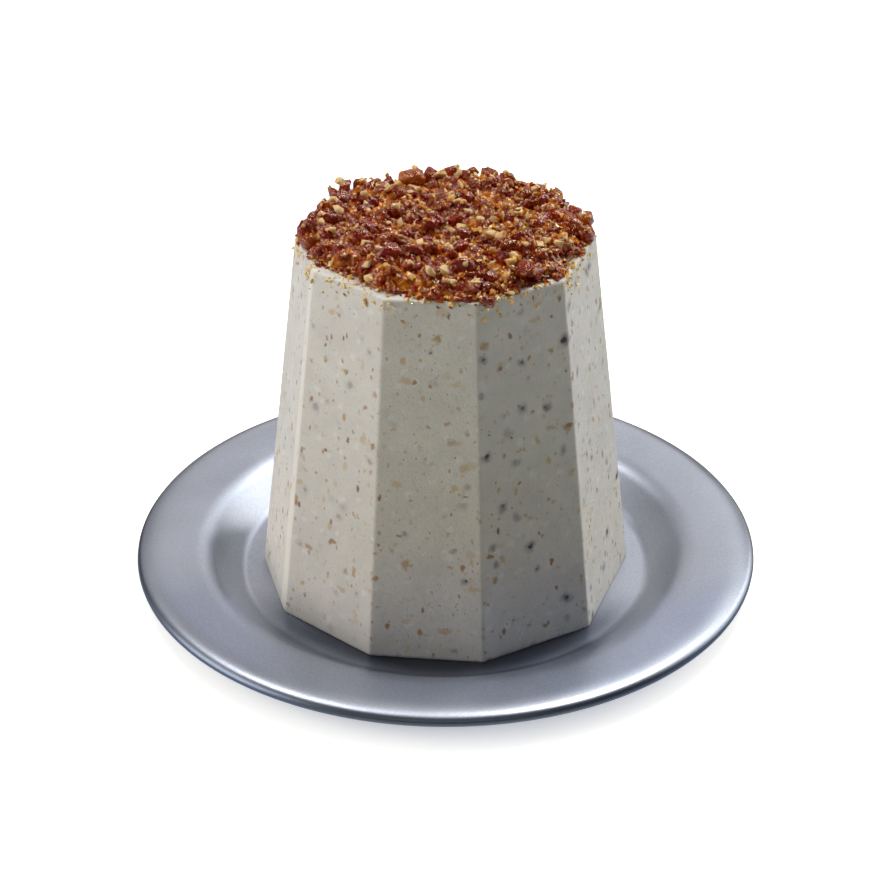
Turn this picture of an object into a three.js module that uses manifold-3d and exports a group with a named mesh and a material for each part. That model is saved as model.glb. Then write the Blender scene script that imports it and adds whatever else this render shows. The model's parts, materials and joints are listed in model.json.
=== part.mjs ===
// Nougat semifreddo on its metal saucer: a ten-sided frozen dessert turned out of its mould,
// with a layer of crushed nut brittle on top.
//
// Millimetres, +Z up. The origin is the centre of the saucer's foot, on the table, and the
// dessert is seen from -Y.

import * as THREE from "three";
import { mergeVertices } from "three/addons/utils/BufferGeometryUtils.js";
import Module from "manifold-3d";

const wasm = await Module();
wasm.setup();

// ---------------------------------------------------------------- driving sizes

const SHEET = 0.8; // thickness of the saucer's steel
const SAUCER_RADIUS = 60; // to the outside of the turned-down lip
const WELL_RADIUS = 39.8; // flat floor that the dessert stands on
const FLANGE_RADIUS = 46.6; // where the well's wall meets the flange
const FLANGE_RISE = 4.9; // from the floor to the flange's inner edge
const CREST_RISE = 5.8; // from the floor to the top of the rim
const LIP_RISE = 4.1; // from the floor to the lip's lower edge
// How far each bend of the sheet reaches along the stretches before and after it.
const WELL_BEND = [1.2, 1.5];
const FLANGE_BEND = [2, 2.6];
const LIP_BEND = [3.4, 1.5];
const LIP_CORNER_LIFT = 0.25; // how far the lip's unrounded corner stands above the rim

const BASE_RADIUS = 35.8; // dessert, axis to corner, on the saucer
const TOP_RADIUS = 27.6; // axis to corner, under the brittle
const DESSERT_HEIGHT = 70;
const CORNER_SOFTNESS = 0.9; // how far a corner is rounded along each facet
const SHOULDER = 0.7; // rounding of the top edge
const FOOT_EASE = 0.2; // rounding of the bottom edge
// Width of each facet seen from the axis, in degrees, from the left corner round the front.
// The mould's facets aren't quite even.
const FACET_WIDTHS = [32.2, 36, 34.5, 38, 43.3, 35.2, 35.2, 35.2, 35.2, 35.2];
const LEFT_CORNER = 178.5; // direction of the first corner, in degrees from +X

const BRITTLE_DEPTH = 2.1; // bed of crushed brittle, without the pieces that stand out of it
// Bare rim outside the bed, as [direction in degrees, width].
const BARE_RIM = [
  [-165, 0.4],
  [-140, 2.6],
  [-108, 1.7],
  [-95, 0],
  [-70, 0.2],
  [-38, 0.9],
  [-10, 0.2],
  [40, 0.9],
  [100, 0.8],
  [109, 3.6],
  [116, 1],
  [150, 0.6],
];

// ---------------------------------------------------------------- helpers

const FLOOR = SHEET; // height of the saucer's floor
const DESSERT_TOP = FLOOR + DESSERT_HEIGHT;

// A random number source that always gives the same draws.
function seeded(seed) {
  let state = seed >>> 0;
  return (low, high) => {
    state = (Math.imul(state, 1664525) + 1013904223) >>> 0;
    return low + ((high - low) * state) / 4294967296;
  };
}

// The same surface with one vertex at each corner, and nothing but its position.
function cornersOnly(geometry) {
  const bare = geometry.clone();
  bare.deleteAttribute("normal");
  bare.deleteAttribute("uv");
  return mergeVertices(bare, 1e-4);
}

function solidOf(geometry) {
  const merged = cornersOnly(geometry);
  return new wasm.Manifold(
    new wasm.Mesh({
      numProp: 3,
      vertProperties: new Float32Array(merged.attributes.position.array),
      triVerts: new Uint32Array(merged.index.array),
    }),
  );
}

function geometryOf(solid) {
  const mesh = solid.getMesh();
  const geometry = new THREE.BufferGeometry();
  geometry.setAttribute("position", new THREE.BufferAttribute(mesh.vertProperties, 3));
  geometry.setIndex(new THREE.BufferAttribute(mesh.triVerts, 1));
  geometry.computeVertexNormals();
  return geometry;
}

// Skins a stack of rings with the same number of points, and closes both ends.
function loft(rings) {
  const count = rings[0].length;
  const positions = rings.flat().flatMap((p) => [p.x, p.y, p.z]);
  const faces = [];
  for (let level = 0; level < rings.length - 1; level++) {
    for (let i = 0; i < count; i++) {
      const j = (i + 1) % count;
      const a = level * count;
      const b = a + count;
      faces.push(a + i, a + j, b + j, a + i, b + j, b + i);
    }
  }
  const last = (rings.length - 1) * count;
  for (let i = 1; i < count - 1; i++) {
    faces.push(0, i + 1, i);
    faces.push(last, last + i, last + i + 1);
  }
  const geometry = new THREE.BufferGeometry();
  geometry.setAttribute("position", new THREE.Float32BufferAttribute(positions, 3));
  geometry.setIndex(faces);
  geometry.computeVertexNormals();
  return geometry;
}

// ---------------------------------------------------------------- saucer

// A line of straight stretches, with each bend rounded over the lengths that it names.
function bentLine(stops) {
  const line = new THREE.Path();
  line.moveTo(stops[0].at.x, stops[0].at.y);
  stops.forEach(({ at, bend }, i) => {
    if (!bend) return;
    const start = stops[i - 1].at.clone().sub(at).setLength(bend[0]).add(at);
    const end = stops[i + 1].at.clone().sub(at).setLength(bend[1]).add(at);
    line.lineTo(start.x, start.y);
    line.quadraticCurveTo(at.x, at.y, end.x, end.y);
  });
  const last = stops.at(-1).at;
  line.lineTo(last.x, last.y);
  return line;
}

// Line through the middle of the sheet, from the axis out to the lip.
function saucerCentreLine() {
  const middle = SHEET / 2;
  const lipRadius = SAUCER_RADIUS - middle;
  const stop = (radius, rise, bend) => ({ at: new THREE.Vector2(radius, middle + rise), bend });
  return bentLine([
    stop(0, 0),
    stop(WELL_RADIUS, 0, WELL_BEND),
    stop(FLANGE_RADIUS, FLANGE_RISE, FLANGE_BEND),
    stop(lipRadius, CREST_RISE + LIP_CORNER_LIFT, LIP_BEND),
    stop(lipRadius, LIP_RISE + middle),
  ]).getPoints(3);
}

// Both faces of the sheet, half a thickness to each side of its centre line, with the edge closed.
function sheetOutline(centre, thickness) {
  const upper = [];
  const lower = [];
  centre.forEach((point, i) => {
    const before = centre[Math.max(i - 1, 0)];
    const after = centre[Math.min(i + 1, centre.length - 1)];
    const along = after.clone().sub(before).normalize();
    const across = new THREE.Vector2(-along.y, along.x).multiplyScalar(thickness / 2);
    if (point.x === 0) across.set(0, thickness / 2);
    upper.push(point.clone().add(across));
    lower.push(point.clone().sub(across));
  });
  return [...lower, ...upper.reverse()];
}

function saucerGeometry() {
  const outline = sheetOutline(saucerCentreLine(), SHEET);
  return new THREE.LatheGeometry(outline, 72).rotateX(Math.PI / 2);
}

// ---------------------------------------------------------------- dessert

function cornerAngles() {
  const angles = [];
  let angle = LEFT_CORNER;
  for (const width of FACET_WIDTHS) {
    angles.push(THREE.MathUtils.degToRad(angle));
    angle += width;
  }
  return angles;
}

// The ten-sided section at one height, with each corner slightly rounded.
function sectionAt(cornerRadius, height) {
  const corners = cornerAngles().map(
    (angle) => new THREE.Vector2(Math.cos(angle), Math.sin(angle)).multiplyScalar(cornerRadius),
  );
  const points = [];
  corners.forEach((corner, i) => {
    const before = corners[(i + corners.length - 1) % corners.length];
    const after = corners[(i + 1) % corners.length];
    const start = before.clone().sub(corner).setLength(CORNER_SOFTNESS).add(corner);
    const end = after.clone().sub(corner).setLength(CORNER_SOFTNESS).add(corner);
    const bend = new THREE.QuadraticBezierCurve(start, corner, end);
    points.push(...bend.getPoints(2));
  });
  return points.map((p) => new THREE.Vector3(p.x, p.y, height));
}

function dessertGeometry() {
  const slope = (BASE_RADIUS - TOP_RADIUS) / DESSERT_HEIGHT;
  const shoulderRadius = TOP_RADIUS + slope * SHOULDER;
  return loft([
    sectionAt(BASE_RADIUS - FOOT_EASE, FLOOR),
    sectionAt(BASE_RADIUS - slope * FOOT_EASE, FLOOR + FOOT_EASE),
    sectionAt(shoulderRadius, DESSERT_TOP - SHOULDER),
    sectionAt(TOP_RADIUS - SHOULDER * 0.25, DESSERT_TOP - SHOULDER * 0.3),
    sectionAt(TOP_RADIUS - SHOULDER * 0.9, DESSERT_TOP),
  ]);
}

// Distance from the axis to the top face's edge in a direction.
function topEdge(direction) {
  const angles = cornerAngles();
  const turn = THREE.MathUtils.euclideanModulo(direction - angles[0], 2 * Math.PI);
  let i = 0;
  while (i < angles.length - 1 && angles[i + 1] - angles[0] <= turn) i++;
  const half = THREE.MathUtils.degToRad(FACET_WIDTHS[i]) / 2;
  const fromMiddle = turn - (angles[i] - angles[0]) - half;
  return (TOP_RADIUS * Math.cos(half)) / Math.cos(fromMiddle);
}

// ---------------------------------------------------------------- crushed brittle

// Width of the rim left bare, eased from one named direction to the next.
function bareRim(direction) {
  const degrees = THREE.MathUtils.radToDeg(direction);
  const stops = BARE_RIM.length;
  for (let i = 0; i < stops; i++) {
    const [from, width] = BARE_RIM[i];
    const [to, nextWidth] = BARE_RIM[(i + 1) % stops];
    const span = THREE.MathUtils.euclideanModulo(to - from, 360);
    const past = THREE.MathUtils.euclideanModulo(degrees - from, 360);
    if (past < span) {
      return width + (nextWidth - width) * THREE.MathUtils.smoothstep(past, 0, span);
    }
  }
  return BARE_RIM[0][1];
}

function bedRadius(direction) {
  return topEdge(direction) - bareRim(direction);
}

// The bed is a little uneven, and thinner at its edge.
function bedDepth(reach, direction) {
  const swell = 0.2 * Math.sin(3 * direction + 1) + 0.15 * Math.sin(5 * direction);
  return (BRITTLE_DEPTH + swell * reach) * (1 - 0.25 * reach ** 6);
}

function bedRing(reach, lift) {
  const sides = 36;
  const ring = [];
  for (let i = 0; i < sides; i++) {
    const direction = (2 * Math.PI * i) / sides;
    const radius = reach * bedRadius(direction);
    const height = DESSERT_TOP + lift * bedDepth(reach, direction);
    ring.push(new THREE.Vector3(radius * Math.cos(direction), radius * Math.sin(direction), height));
  }
  return ring;
}

function bedSolid() {
  return solidOf(loft([bedRing(0.97, 0), bedRing(1, 0.5), bedRing(0.94, 1), bedRing(0.4, 1)]));
}

// A simple form with every corner pulled in or out, leant and turned at random.
function brokenPiece(form, size, roughness, draw) {
  const geometry = form.clone();
  const position = geometry.getAttribute("position");
  for (let i = 0; i < position.count; i++) {
    const keep = 1 + draw(-roughness, roughness);
    position.setXYZ(i, position.getX(i) * keep, position.getY(i) * keep, position.getZ(i) * keep);
  }
  geometry.scale(size.x, size.y, size.z);
  geometry.rotateZ(draw(0, 2 * Math.PI));
  geometry.rotateX(draw(-0.5, 0.5));
  geometry.rotateY(draw(-0.5, 0.5));
  return geometry;
}

// Spreads pieces evenly over the bed, as a sunflower does its seeds, each a little off its place.
function scatteredPieces({ count, seed, form, long, aspect, flat, roughness, rise, start }) {
  const draw = seeded(seed);
  const goldenAngle = Math.PI * (3 - Math.sqrt(5));
  const pieces = [];
  for (let i = 0; i < count; i++) {
    const direction = start + i * goldenAngle + draw(-0.05, 0.05);
    const length = draw(...long);
    const size = new THREE.Vector3(length, length * draw(...aspect), length * draw(...flat));
    const piece = brokenPiece(form, size, roughness, draw);
    const reach = Math.sqrt((i + 0.5) / count) + draw(-0.02, 0.02);
    const radius = Math.min(reach * bedRadius(direction), bedRadius(direction) - 0.3 * length);
    const height = DESSERT_TOP + bedDepth(reach, direction) + rise * size.z;
    piece.translate(radius * Math.cos(direction), radius * Math.sin(direction), height);
    pieces.push(solidOf(piece));
  }
  return pieces;
}

// Everything below the dessert's top face, cut off the pieces that reach down to it.
function belowTop() {
  const slab = new THREE.BoxGeometry(4 * TOP_RADIUS, 4 * TOP_RADIUS, 20);
  return solidOf(slab.translate(0, 0, DESSERT_TOP - 10));
}

function brittleGeometry() {
  const shards = scatteredPieces({
    count: 80,
    seed: 11,
    form: cornersOnly(new THREE.BoxGeometry(1, 1, 1)),
    long: [2.8, 4.8],
    aspect: [0.6, 0.95],
    flat: [0.35, 0.6],
    roughness: 0.22,
    rise: 0.15,
    start: 0.4,
  });
  const nuts = scatteredPieces({
    count: 90,
    seed: 29,
    form: cornersOnly(new THREE.IcosahedronGeometry(0.5, 0)),
    long: [2, 3.2],
    aspect: [0.65, 0.95],
    flat: [0.5, 0.8],
    roughness: 0.18,
    rise: 0.3,
    start: 2.1,
  });
  const heap = wasm.Manifold.union([bedSolid(), ...shards, ...nuts]).subtract(belowTop());
  // Loose scraps and sealed gaps between the pieces are left out.
  const bodies = heap.decompose().sort((a, b) => b.volume() - a.volume());
  return geometryOf(bodies[0]);
}

// ---------------------------------------------------------------- the part

const satinSteel = new THREE.MeshStandardMaterial({
  color: 0xa9adb8,
  roughness: 0.35,
  metalness: 1,
});
const frozenCream = new THREE.MeshStandardMaterial({
  color: 0xe4dfd0,
  roughness: 0.6,
  metalness: 0,
});
const amberBrittle = new THREE.MeshStandardMaterial({
  color: 0x8f3a14,
  roughness: 0.2,
  metalness: 0,
});

function namedMesh(name, geometry, material) {
  const mesh = new THREE.Mesh(geometry, material);
  mesh.name = name;
  return mesh;
}

const semifreddoOnSaucer = new THREE.Group();
semifreddoOnSaucer.add(
  namedMesh("saucer", saucerGeometry(), satinSteel),
  namedMesh("semifreddo", dessertGeometry(), frozenCream),
  namedMesh("brittle_topping", brittleGeometry(), amberBrittle),
);

export default semifreddoOnSaucer;
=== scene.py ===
"""Nougat semifreddo on its metal saucer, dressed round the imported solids.

The file is laid out as a Blender add-on and is run as a script. Sizes are in metres, +Z up, with
the origin on the table under the middle of the saucer. The dessert is seen from -Y.
"""

import json
import math
import random

import bmesh
import bpy
from bpy.props import FloatProperty, FloatVectorProperty, IntProperty, PointerProperty
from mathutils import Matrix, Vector, noise

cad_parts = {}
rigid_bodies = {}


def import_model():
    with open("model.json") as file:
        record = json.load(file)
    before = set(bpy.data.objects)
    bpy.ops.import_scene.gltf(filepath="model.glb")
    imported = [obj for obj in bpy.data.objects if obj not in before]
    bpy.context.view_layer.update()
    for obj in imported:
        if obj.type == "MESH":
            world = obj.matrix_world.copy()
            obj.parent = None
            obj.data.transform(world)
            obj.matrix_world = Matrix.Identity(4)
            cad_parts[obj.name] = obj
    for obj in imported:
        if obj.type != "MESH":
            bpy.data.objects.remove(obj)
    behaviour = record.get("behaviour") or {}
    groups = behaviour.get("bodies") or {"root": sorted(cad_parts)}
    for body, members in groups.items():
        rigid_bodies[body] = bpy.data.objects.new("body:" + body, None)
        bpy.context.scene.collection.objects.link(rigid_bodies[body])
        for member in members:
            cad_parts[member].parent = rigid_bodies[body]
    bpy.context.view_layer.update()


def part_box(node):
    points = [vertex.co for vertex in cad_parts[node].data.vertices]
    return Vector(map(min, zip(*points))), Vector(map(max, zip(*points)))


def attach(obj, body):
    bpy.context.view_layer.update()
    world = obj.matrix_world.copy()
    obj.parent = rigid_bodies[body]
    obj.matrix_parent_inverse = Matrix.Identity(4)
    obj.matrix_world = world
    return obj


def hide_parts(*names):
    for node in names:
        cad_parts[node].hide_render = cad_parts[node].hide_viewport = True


bl_info = {
    "name": "Nougat semifreddo on its saucer",
    "version": (1, 0, 0),
    "blender": (4, 5, 0),
    "location": "3D View > Sidebar > Semifreddo",
    "description": "Builds the saucer, the frozen dessert, its brittle topping and the studio",
    "category": "Object",
}

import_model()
MM = 0.001

SAUCER_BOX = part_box("saucer")
DESSERT_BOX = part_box("semifreddo")
BRITTLE_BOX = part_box("brittle_topping")
FLOOR = DESSERT_BOX[0].z
DESSERT_TOP = DESSERT_BOX[1].z

# Width of each facet seen from the axis, in degrees, from the left corner round the front.
FACET_WIDTHS = (32.2, 36, 34.5, 38, 43.3, 35.2, 35.2, 35.2, 35.2, 35.2)
LEFT_CORNER = 178.5
# Bare rim outside the brittle, as (direction in degrees, width in mm).
BARE_RIM = (
    (-165, 0.4),
    (-140, 2.6),
    (-108, 1.7),
    (-95, 0),
    (-70, 0.2),
    (-38, 0.9),
    (-10, 0.2),
    (40, 0.9),
    (100, 0.8),
    (109, 3.6),
    (116, 1),
    (150, 0.6),
)


# ---------------------------------------------------------------- settings

LENGTH = {"unit": "LENGTH", "subtype": "DISTANCE"}
COLOUR = {"subtype": "COLOR", "min": 0, "max": 1}


class SaucerSettings(bpy.types.PropertyGroup):
    """Sizes and finish of the saucer."""

    radius: FloatProperty(
        name="Radius",
        description="From the axis to the outside of the turned-down lip",
        default=SAUCER_BOX[1].x, **LENGTH,
    )
    sheet: FloatProperty(name="Sheet", description="Thickness of the metal", default=0.8 * MM, **LENGTH)
    well_radius: FloatProperty(
        name="Well radius",
        description="Flat floor that the dessert stands on",
        default=39.8 * MM, **LENGTH,
    )
    flange_radius: FloatProperty(
        name="Flange radius",
        description="Where the wall of the well meets the flange",
        default=46.6 * MM, **LENGTH,
    )
    segments: IntProperty(
        name="Segments",
        description="Steps round the saucer",
        default=256, min=24, max=720,
    )
    metal: FloatVectorProperty(
        name="Metal",
        description="Colour of the satin steel",
        default=(0.58, 0.615, 0.71), **COLOUR,
    )


class DessertSettings(bpy.types.PropertyGroup):
    """Sizes and colours of the frozen cream."""

    base_radius: FloatProperty(
        name="Base radius",
        description="From the axis to a corner, on the saucer",
        default=35.8 * MM, **LENGTH,
    )
    top_radius: FloatProperty(
        name="Top radius",
        description="From the axis to a corner, under the brittle",
        default=27.6 * MM, **LENGTH,
    )
    softness: FloatProperty(
        name="Corner softness",
        description="How far a corner is rounded along each facet",
        default=0.4 * MM, **LENGTH,
    )
    cream: FloatVectorProperty(
        name="Cream",
        description="Colour of the frozen cream",
        default=(0.83, 0.803, 0.72), **COLOUR,
    )
    tan_fleck: FloatVectorProperty(
        name="Tan flecks",
        description="Colour of the nut pieces in the cream",
        default=(0.60, 0.41, 0.17), **COLOUR,
    )
    dark_fleck: FloatVectorProperty(
        name="Dark flecks",
        description="Colour of the nut skins in the cream",
        default=(0.11, 0.075, 0.06), **COLOUR,
    )


class BrittleSettings(bpy.types.PropertyGroup):
    """Sizes and colours of the crushed brittle."""

    bed: FloatProperty(
        name="Bed",
        description="Depth of the crushed caramel under the loose pieces",
        default=1.1 * MM, **LENGTH,
    )
    shard: FloatProperty(
        name="Largest shard",
        description="Length of the largest caramel shards",
        default=6.0 * MM, **LENGTH,
    )
    nut: FloatProperty(
        name="Largest nut",
        description="Length of the largest pieces of nut",
        default=3.9 * MM, **LENGTH,
    )
    seed: IntProperty(name="Seed", description="Changes how the pieces fall", default=7)
    deep_caramel: FloatVectorProperty(
        name="Deep caramel",
        description="Colour where the caramel is thick",
        default=(0.46, 0.016, 0.004), **COLOUR,
    )
    thin_caramel: FloatVectorProperty(
        name="Thin caramel",
        description="Colour where light comes through the caramel",
        default=(0.95, 0.29, 0.008), **COLOUR,
    )
    nut_flesh: FloatVectorProperty(
        name="Nut",
        description="Colour of a cut nut",
        default=(0.87, 0.61, 0.26), **COLOUR,
    )


class StageSettings(bpy.types.PropertyGroup):
    """Camera and light."""

    distance: FloatProperty(
        name="Camera distance",
        description="From the camera to the middle of the dessert",
        default=0.471, **LENGTH,
    )
    elevation: FloatProperty(
        name="Camera elevation",
        description="How far the camera looks down",
        default=math.radians(30.2), unit="ROTATION", subtype="ANGLE",
    )
    left: FloatProperty(name="Left box", description="Brightness of the left box", default=3.42, min=0)
    right: FloatProperty(name="Right box", description="Brightness of the right box", default=3.17, min=0)
    back: FloatProperty(name="Back boxes", description="Brightness of the boxes behind", default=1.0, min=0)
    card: FloatProperty(
        name="Front card",
        description="Brightness of the card in front",
        default=0.45, min=0,
    )
    lamps: FloatProperty(
        name="Lamps",
        description="Brightness of the two strong lamps above",
        default=30.0, min=0,
    )


# ---------------------------------------------------------------- helpers


def saucer_settings():
    return bpy.context.scene.semifreddo_saucer


def dessert_settings():
    return bpy.context.scene.semifreddo_dessert


def brittle_settings():
    return bpy.context.scene.semifreddo_brittle


def stage_settings():
    return bpy.context.scene.semifreddo_stage


def smoothstep(value, low, high):
    share = min(max((value - low) / (high - low), 0.0), 1.0)
    return share * share * (3 - 2 * share)


class NodeBench:
    """Adds nodes to a tree and joins them. An input is named, or numbered where names repeat."""

    def __init__(self, tree):
        self.tree = tree

    def add(self, kind, inputs=None, **settings):
        node = self.tree.nodes.new(kind)
        for name, value in settings.items():
            setattr(node, name, value)
        self.fill(node, inputs or {})
        return node

    def feed(self, socket, value):
        if isinstance(value, bpy.types.NodeSocket):
            self.tree.links.new(value, socket)
        else:
            socket.default_value = value

    def math(self, operation, first, second=0.0):
        return self.add("ShaderNodeMath", {0: first, 1: second}, operation=operation).outputs[0]

    def fill(self, node, inputs):
        for name, value in inputs.items():
            self.feed(node.inputs[name], value)

    def parts(self, vector):
        return self.add("ShaderNodeSeparateXYZ", {0: vector}).outputs

    def point(self, x=0.0, y=0.0, z=0.0):
        return self.add("ShaderNodeCombineXYZ", {0: x, 1: y, 2: z}).outputs[0]

    def scaled(self, vector, factor):
        return self.add("ShaderNodeVectorMath", {0: vector, "Scale": factor}, operation="SCALE").outputs[0]

    def shift(self, place, scale, detail):
        """A random step at each place, within half a unit either way."""
        cloud = self.add("ShaderNodeTexNoise", {"Vector": place, "Scale": scale, "Detail": detail})
        return self.vector_math("SUBTRACT", cloud.outputs["Color"], (0.5, 0.5, 0.5))

    def bump(self, height, strength, distance):
        sockets = {"Strength": strength, "Distance": distance, "Height": height}
        return self.add("ShaderNodeBump", sockets).outputs[0]

    def attribute(self, name, output="Fac"):
        return self.add("ShaderNodeAttribute", attribute_name=name).outputs[output]

    def plus(self, first, second):
        return self.math("ADD", first, second)

    def times(self, first, second):
        return self.math("MULTIPLY", first, second)

    def vector_math(self, operation, first, second=(0, 0, 0)):
        node = self.add("ShaderNodeVectorMath", {0: first, 1: second}, operation=operation)
        return node.outputs["Value" if operation in ("LENGTH", "DOT_PRODUCT") else "Vector"]

    def ramp(self, value, low, high, start=0.0, end=1.0, kind="SMOOTHSTEP"):
        sockets = {0: value, 1: low, 2: high, 3: start, 4: end}
        return self.add("ShaderNodeMapRange", sockets, interpolation_type=kind).outputs[0]

    def blend(self, share, first, second, kind="MIX"):
        node = self.add("ShaderNodeMix", data_type="RGBA", blend_type=kind)
        for number, value in ((0, share), (6, first), (7, second)):
            self.feed(node.inputs[number], value)
        return node.outputs[2]

    def layer(self, tone, mask, strength, paint):
        """Lays paint over a tone where the mask is, no stronger than given."""
        return self.blend(self.times(mask, strength), tone, paint)

    def noise(self, place, size, detail=2.0, roughness=0.5):
        sockets = {"Vector": place, "Scale": 1 / size, "Detail": detail, "Roughness": roughness}
        return self.add("ShaderNodeTexNoise", sockets).outputs["Fac"]


def new_material(name):
    """A bare material, with its bench, its Principled shader and the object coordinates."""
    material = bpy.data.materials.new(name)
    material.use_nodes = True
    bench = NodeBench(material.node_tree)
    shader = material.node_tree.nodes["Principled BSDF"]
    place = bench.add("ShaderNodeTexCoord").outputs["Object"]
    return material, bench, shader, place


def colour(rgb, strength=1.0):
    return (rgb[0] * strength, rgb[1] * strength, rgb[2] * strength, 1.0)


def link(thing):
    bpy.context.scene.collection.objects.link(thing)
    return thing


def finished_piece(name, mesh, material, replaced=()):
    """Puts a mesh in the scene as a piece of the object."""
    mesh.name = name
    if not mesh.materials:
        mesh.materials.append(material)
    piece = link(bpy.data.objects.new(name, mesh))
    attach(piece, "root")
    if replaced:
        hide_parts(*replaced)
    return piece


def mesh_from(name, points, faces, smooth=True):
    mesh = bpy.data.meshes.new(name)
    mesh.from_pydata(points, [], faces)
    mesh.validate()
    mesh.polygons.foreach_set("use_smooth", [smooth] * len(mesh.polygons))
    return mesh


def face_outwards(mesh):
    """Turns the faces of closed bodies so that they point out."""
    form = bmesh.new()
    form.from_mesh(mesh)
    bmesh.ops.recalc_face_normals(form, faces=form.faces)
    form.to_mesh(mesh)
    form.free()


def new_tree(name, sockets):
    """A Geometry Nodes tree with named inputs, and the bench to build it on."""
    tree = bpy.data.node_groups.new(name, "GeometryNodeTree")
    tree.is_modifier = True
    tree.interface.new_socket("Geometry", in_out="OUTPUT", socket_type="NodeSocketGeometry")
    for label, kind in sockets:
        tree.interface.new_socket(label, in_out="INPUT", socket_type="NodeSocket" + kind)
    bench = NodeBench(tree)
    return tree, bench, bench.add("NodeGroupInput").outputs, bench.add("NodeGroupOutput")


def grown_mesh(ground, tree, values):
    """Runs a tree on a mesh and keeps the result as a plain mesh."""
    host = link(bpy.data.objects.new("host", ground))
    modifier = host.modifiers.new("grow", "NODES")
    modifier.node_group = tree
    for item in tree.interface.items_tree:
        if item.in_out == "INPUT" and item.name in values:
            modifier[item.identifier] = values[item.name]
    bpy.context.view_layer.update()
    graph = bpy.context.evaluated_depsgraph_get()
    made = bpy.data.meshes.new_from_object(
        host.evaluated_get(graph), preserve_all_data_layers=True, depsgraph=graph
    )
    host.modifiers.remove(modifier)
    bpy.data.objects.remove(host)
    if not made.polygons:
        raise RuntimeError(f"{tree.name} made nothing")
    return made


# ---------------------------------------------------------------- saucer


def rounded_line(stops, steps=8):
    """Points along straight stretches. A stop is (radius, height, reach of its bend before, after)."""
    line = []
    for i, (radius, height, before, after) in enumerate(stops):
        here = Vector((radius, height))
        if not before:
            line.append(here)
            continue
        start = here + (Vector(stops[i - 1][:2]) - here).normalized() * before
        end = here + (Vector(stops[i + 1][:2]) - here).normalized() * after
        for step in range(steps + 1):
            t = step / steps
            line.append(start * (1 - t) ** 2 + here * 2 * t * (1 - t) + end * t * t)
    return line


def sheet_outline(line, thickness):
    """Both faces of the sheet from the axis out, joined by a rounded edge."""
    upper, lower = [], []
    for i, point in enumerate(line):
        along = (line[min(i + 1, len(line) - 1)] - line[max(i - 1, 0)]).normalized()
        across = Vector((-along.y, along.x)) * thickness / 2
        if i == 0:
            across = Vector((0, thickness / 2))
        upper.append(point + across)
        lower.append(point - across)
    tip = line[-1]
    across = upper[-1] - tip
    along = (line[-1] - line[-2]).normalized() * thickness / 2
    edge = []
    for step in range(1, 6):
        turn = math.pi * step / 6
        edge.append(tip + across * math.cos(turn) + along * (math.sin(turn) - 1))
    upper[-1] -= along
    lower[-1] -= along
    return upper + edge + lower[::-1]


def saucer_outline(settings):
    middle = settings.sheet / 2
    # The bend at the rim cuts this much off the corner of the outline.
    lip = settings.radius - middle + 0.145 * MM
    rise = SAUCER_BOX[1].z - settings.sheet
    line = rounded_line(
        [
            (0, middle, 0, 0),
            (settings.well_radius, middle, 1.2 * MM, 1.5 * MM),
            (settings.flange_radius, middle + 4.9 * MM, 2 * MM, 2.6 * MM),
            (lip, middle + rise + 0.35 * MM, 5.2 * MM, 1.5 * MM),
            (lip - 0.2 * MM, middle + 4.1 * MM, 0, 0),
        ]
    )
    return sheet_outline(line, settings.sheet)


def turning_tree():
    """Turns an outline round the axis, as a sheet is spun on a lathe."""
    tree, bench, given, result = new_tree(
        "turned_sheet",
        [("Outline", "Geometry"), ("Segments", "Int"), ("Finish", "Material")],
    )
    count = bench.add("GeometryNodeAttributeDomainSize", {0: given["Outline"]}).outputs[0]
    columns = bench.plus(given["Segments"], 1)
    grid = bench.add(
        "GeometryNodeMeshGrid",
        {"Size X": 1.0, "Size Y": 1.0, "Vertices X": columns, "Vertices Y": count},
    )
    here = bench.parts(bench.add("GeometryNodeInputPosition").outputs[0])
    last = bench.math("SUBTRACT", count, 1)
    row = bench.math("ROUND", bench.times(bench.plus(here[1], 0.5), last))
    stop = bench.add(
        "GeometryNodeSampleIndex",
        {
            "Geometry": given["Outline"],
            "Value": bench.add("GeometryNodeInputPosition").outputs[0],
            "Index": row,
        },
        data_type="FLOAT_VECTOR",
        domain="POINT",
    )
    outline = bench.parts(stop.outputs[0])
    turn = bench.times(bench.plus(here[0], 0.5), 2 * math.pi)
    around = bench.point(
        bench.times(outline[0], bench.math("COSINE", turn)),
        bench.times(outline[0], bench.math("SINE", turn)),
        outline[2],
    )
    shaped = bench.add("GeometryNodeSetPosition", {"Geometry": grid.outputs[0], "Position": around})
    closed = bench.add("GeometryNodeMergeByDistance", {0: shaped.outputs[0], "Distance": 1e-6})
    smooth = bench.add("GeometryNodeSetShadeSmooth", {0: closed.outputs[0]})
    whole = bench.add("GeometryNodeRealizeInstances", {0: smooth.outputs[0]})
    coated = bench.add(
        "GeometryNodeSetMaterial", {0: whole.outputs[0], "Material": given["Finish"]}
    )
    bench.feed(result.inputs[0], coated.outputs[0])
    return tree


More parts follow.
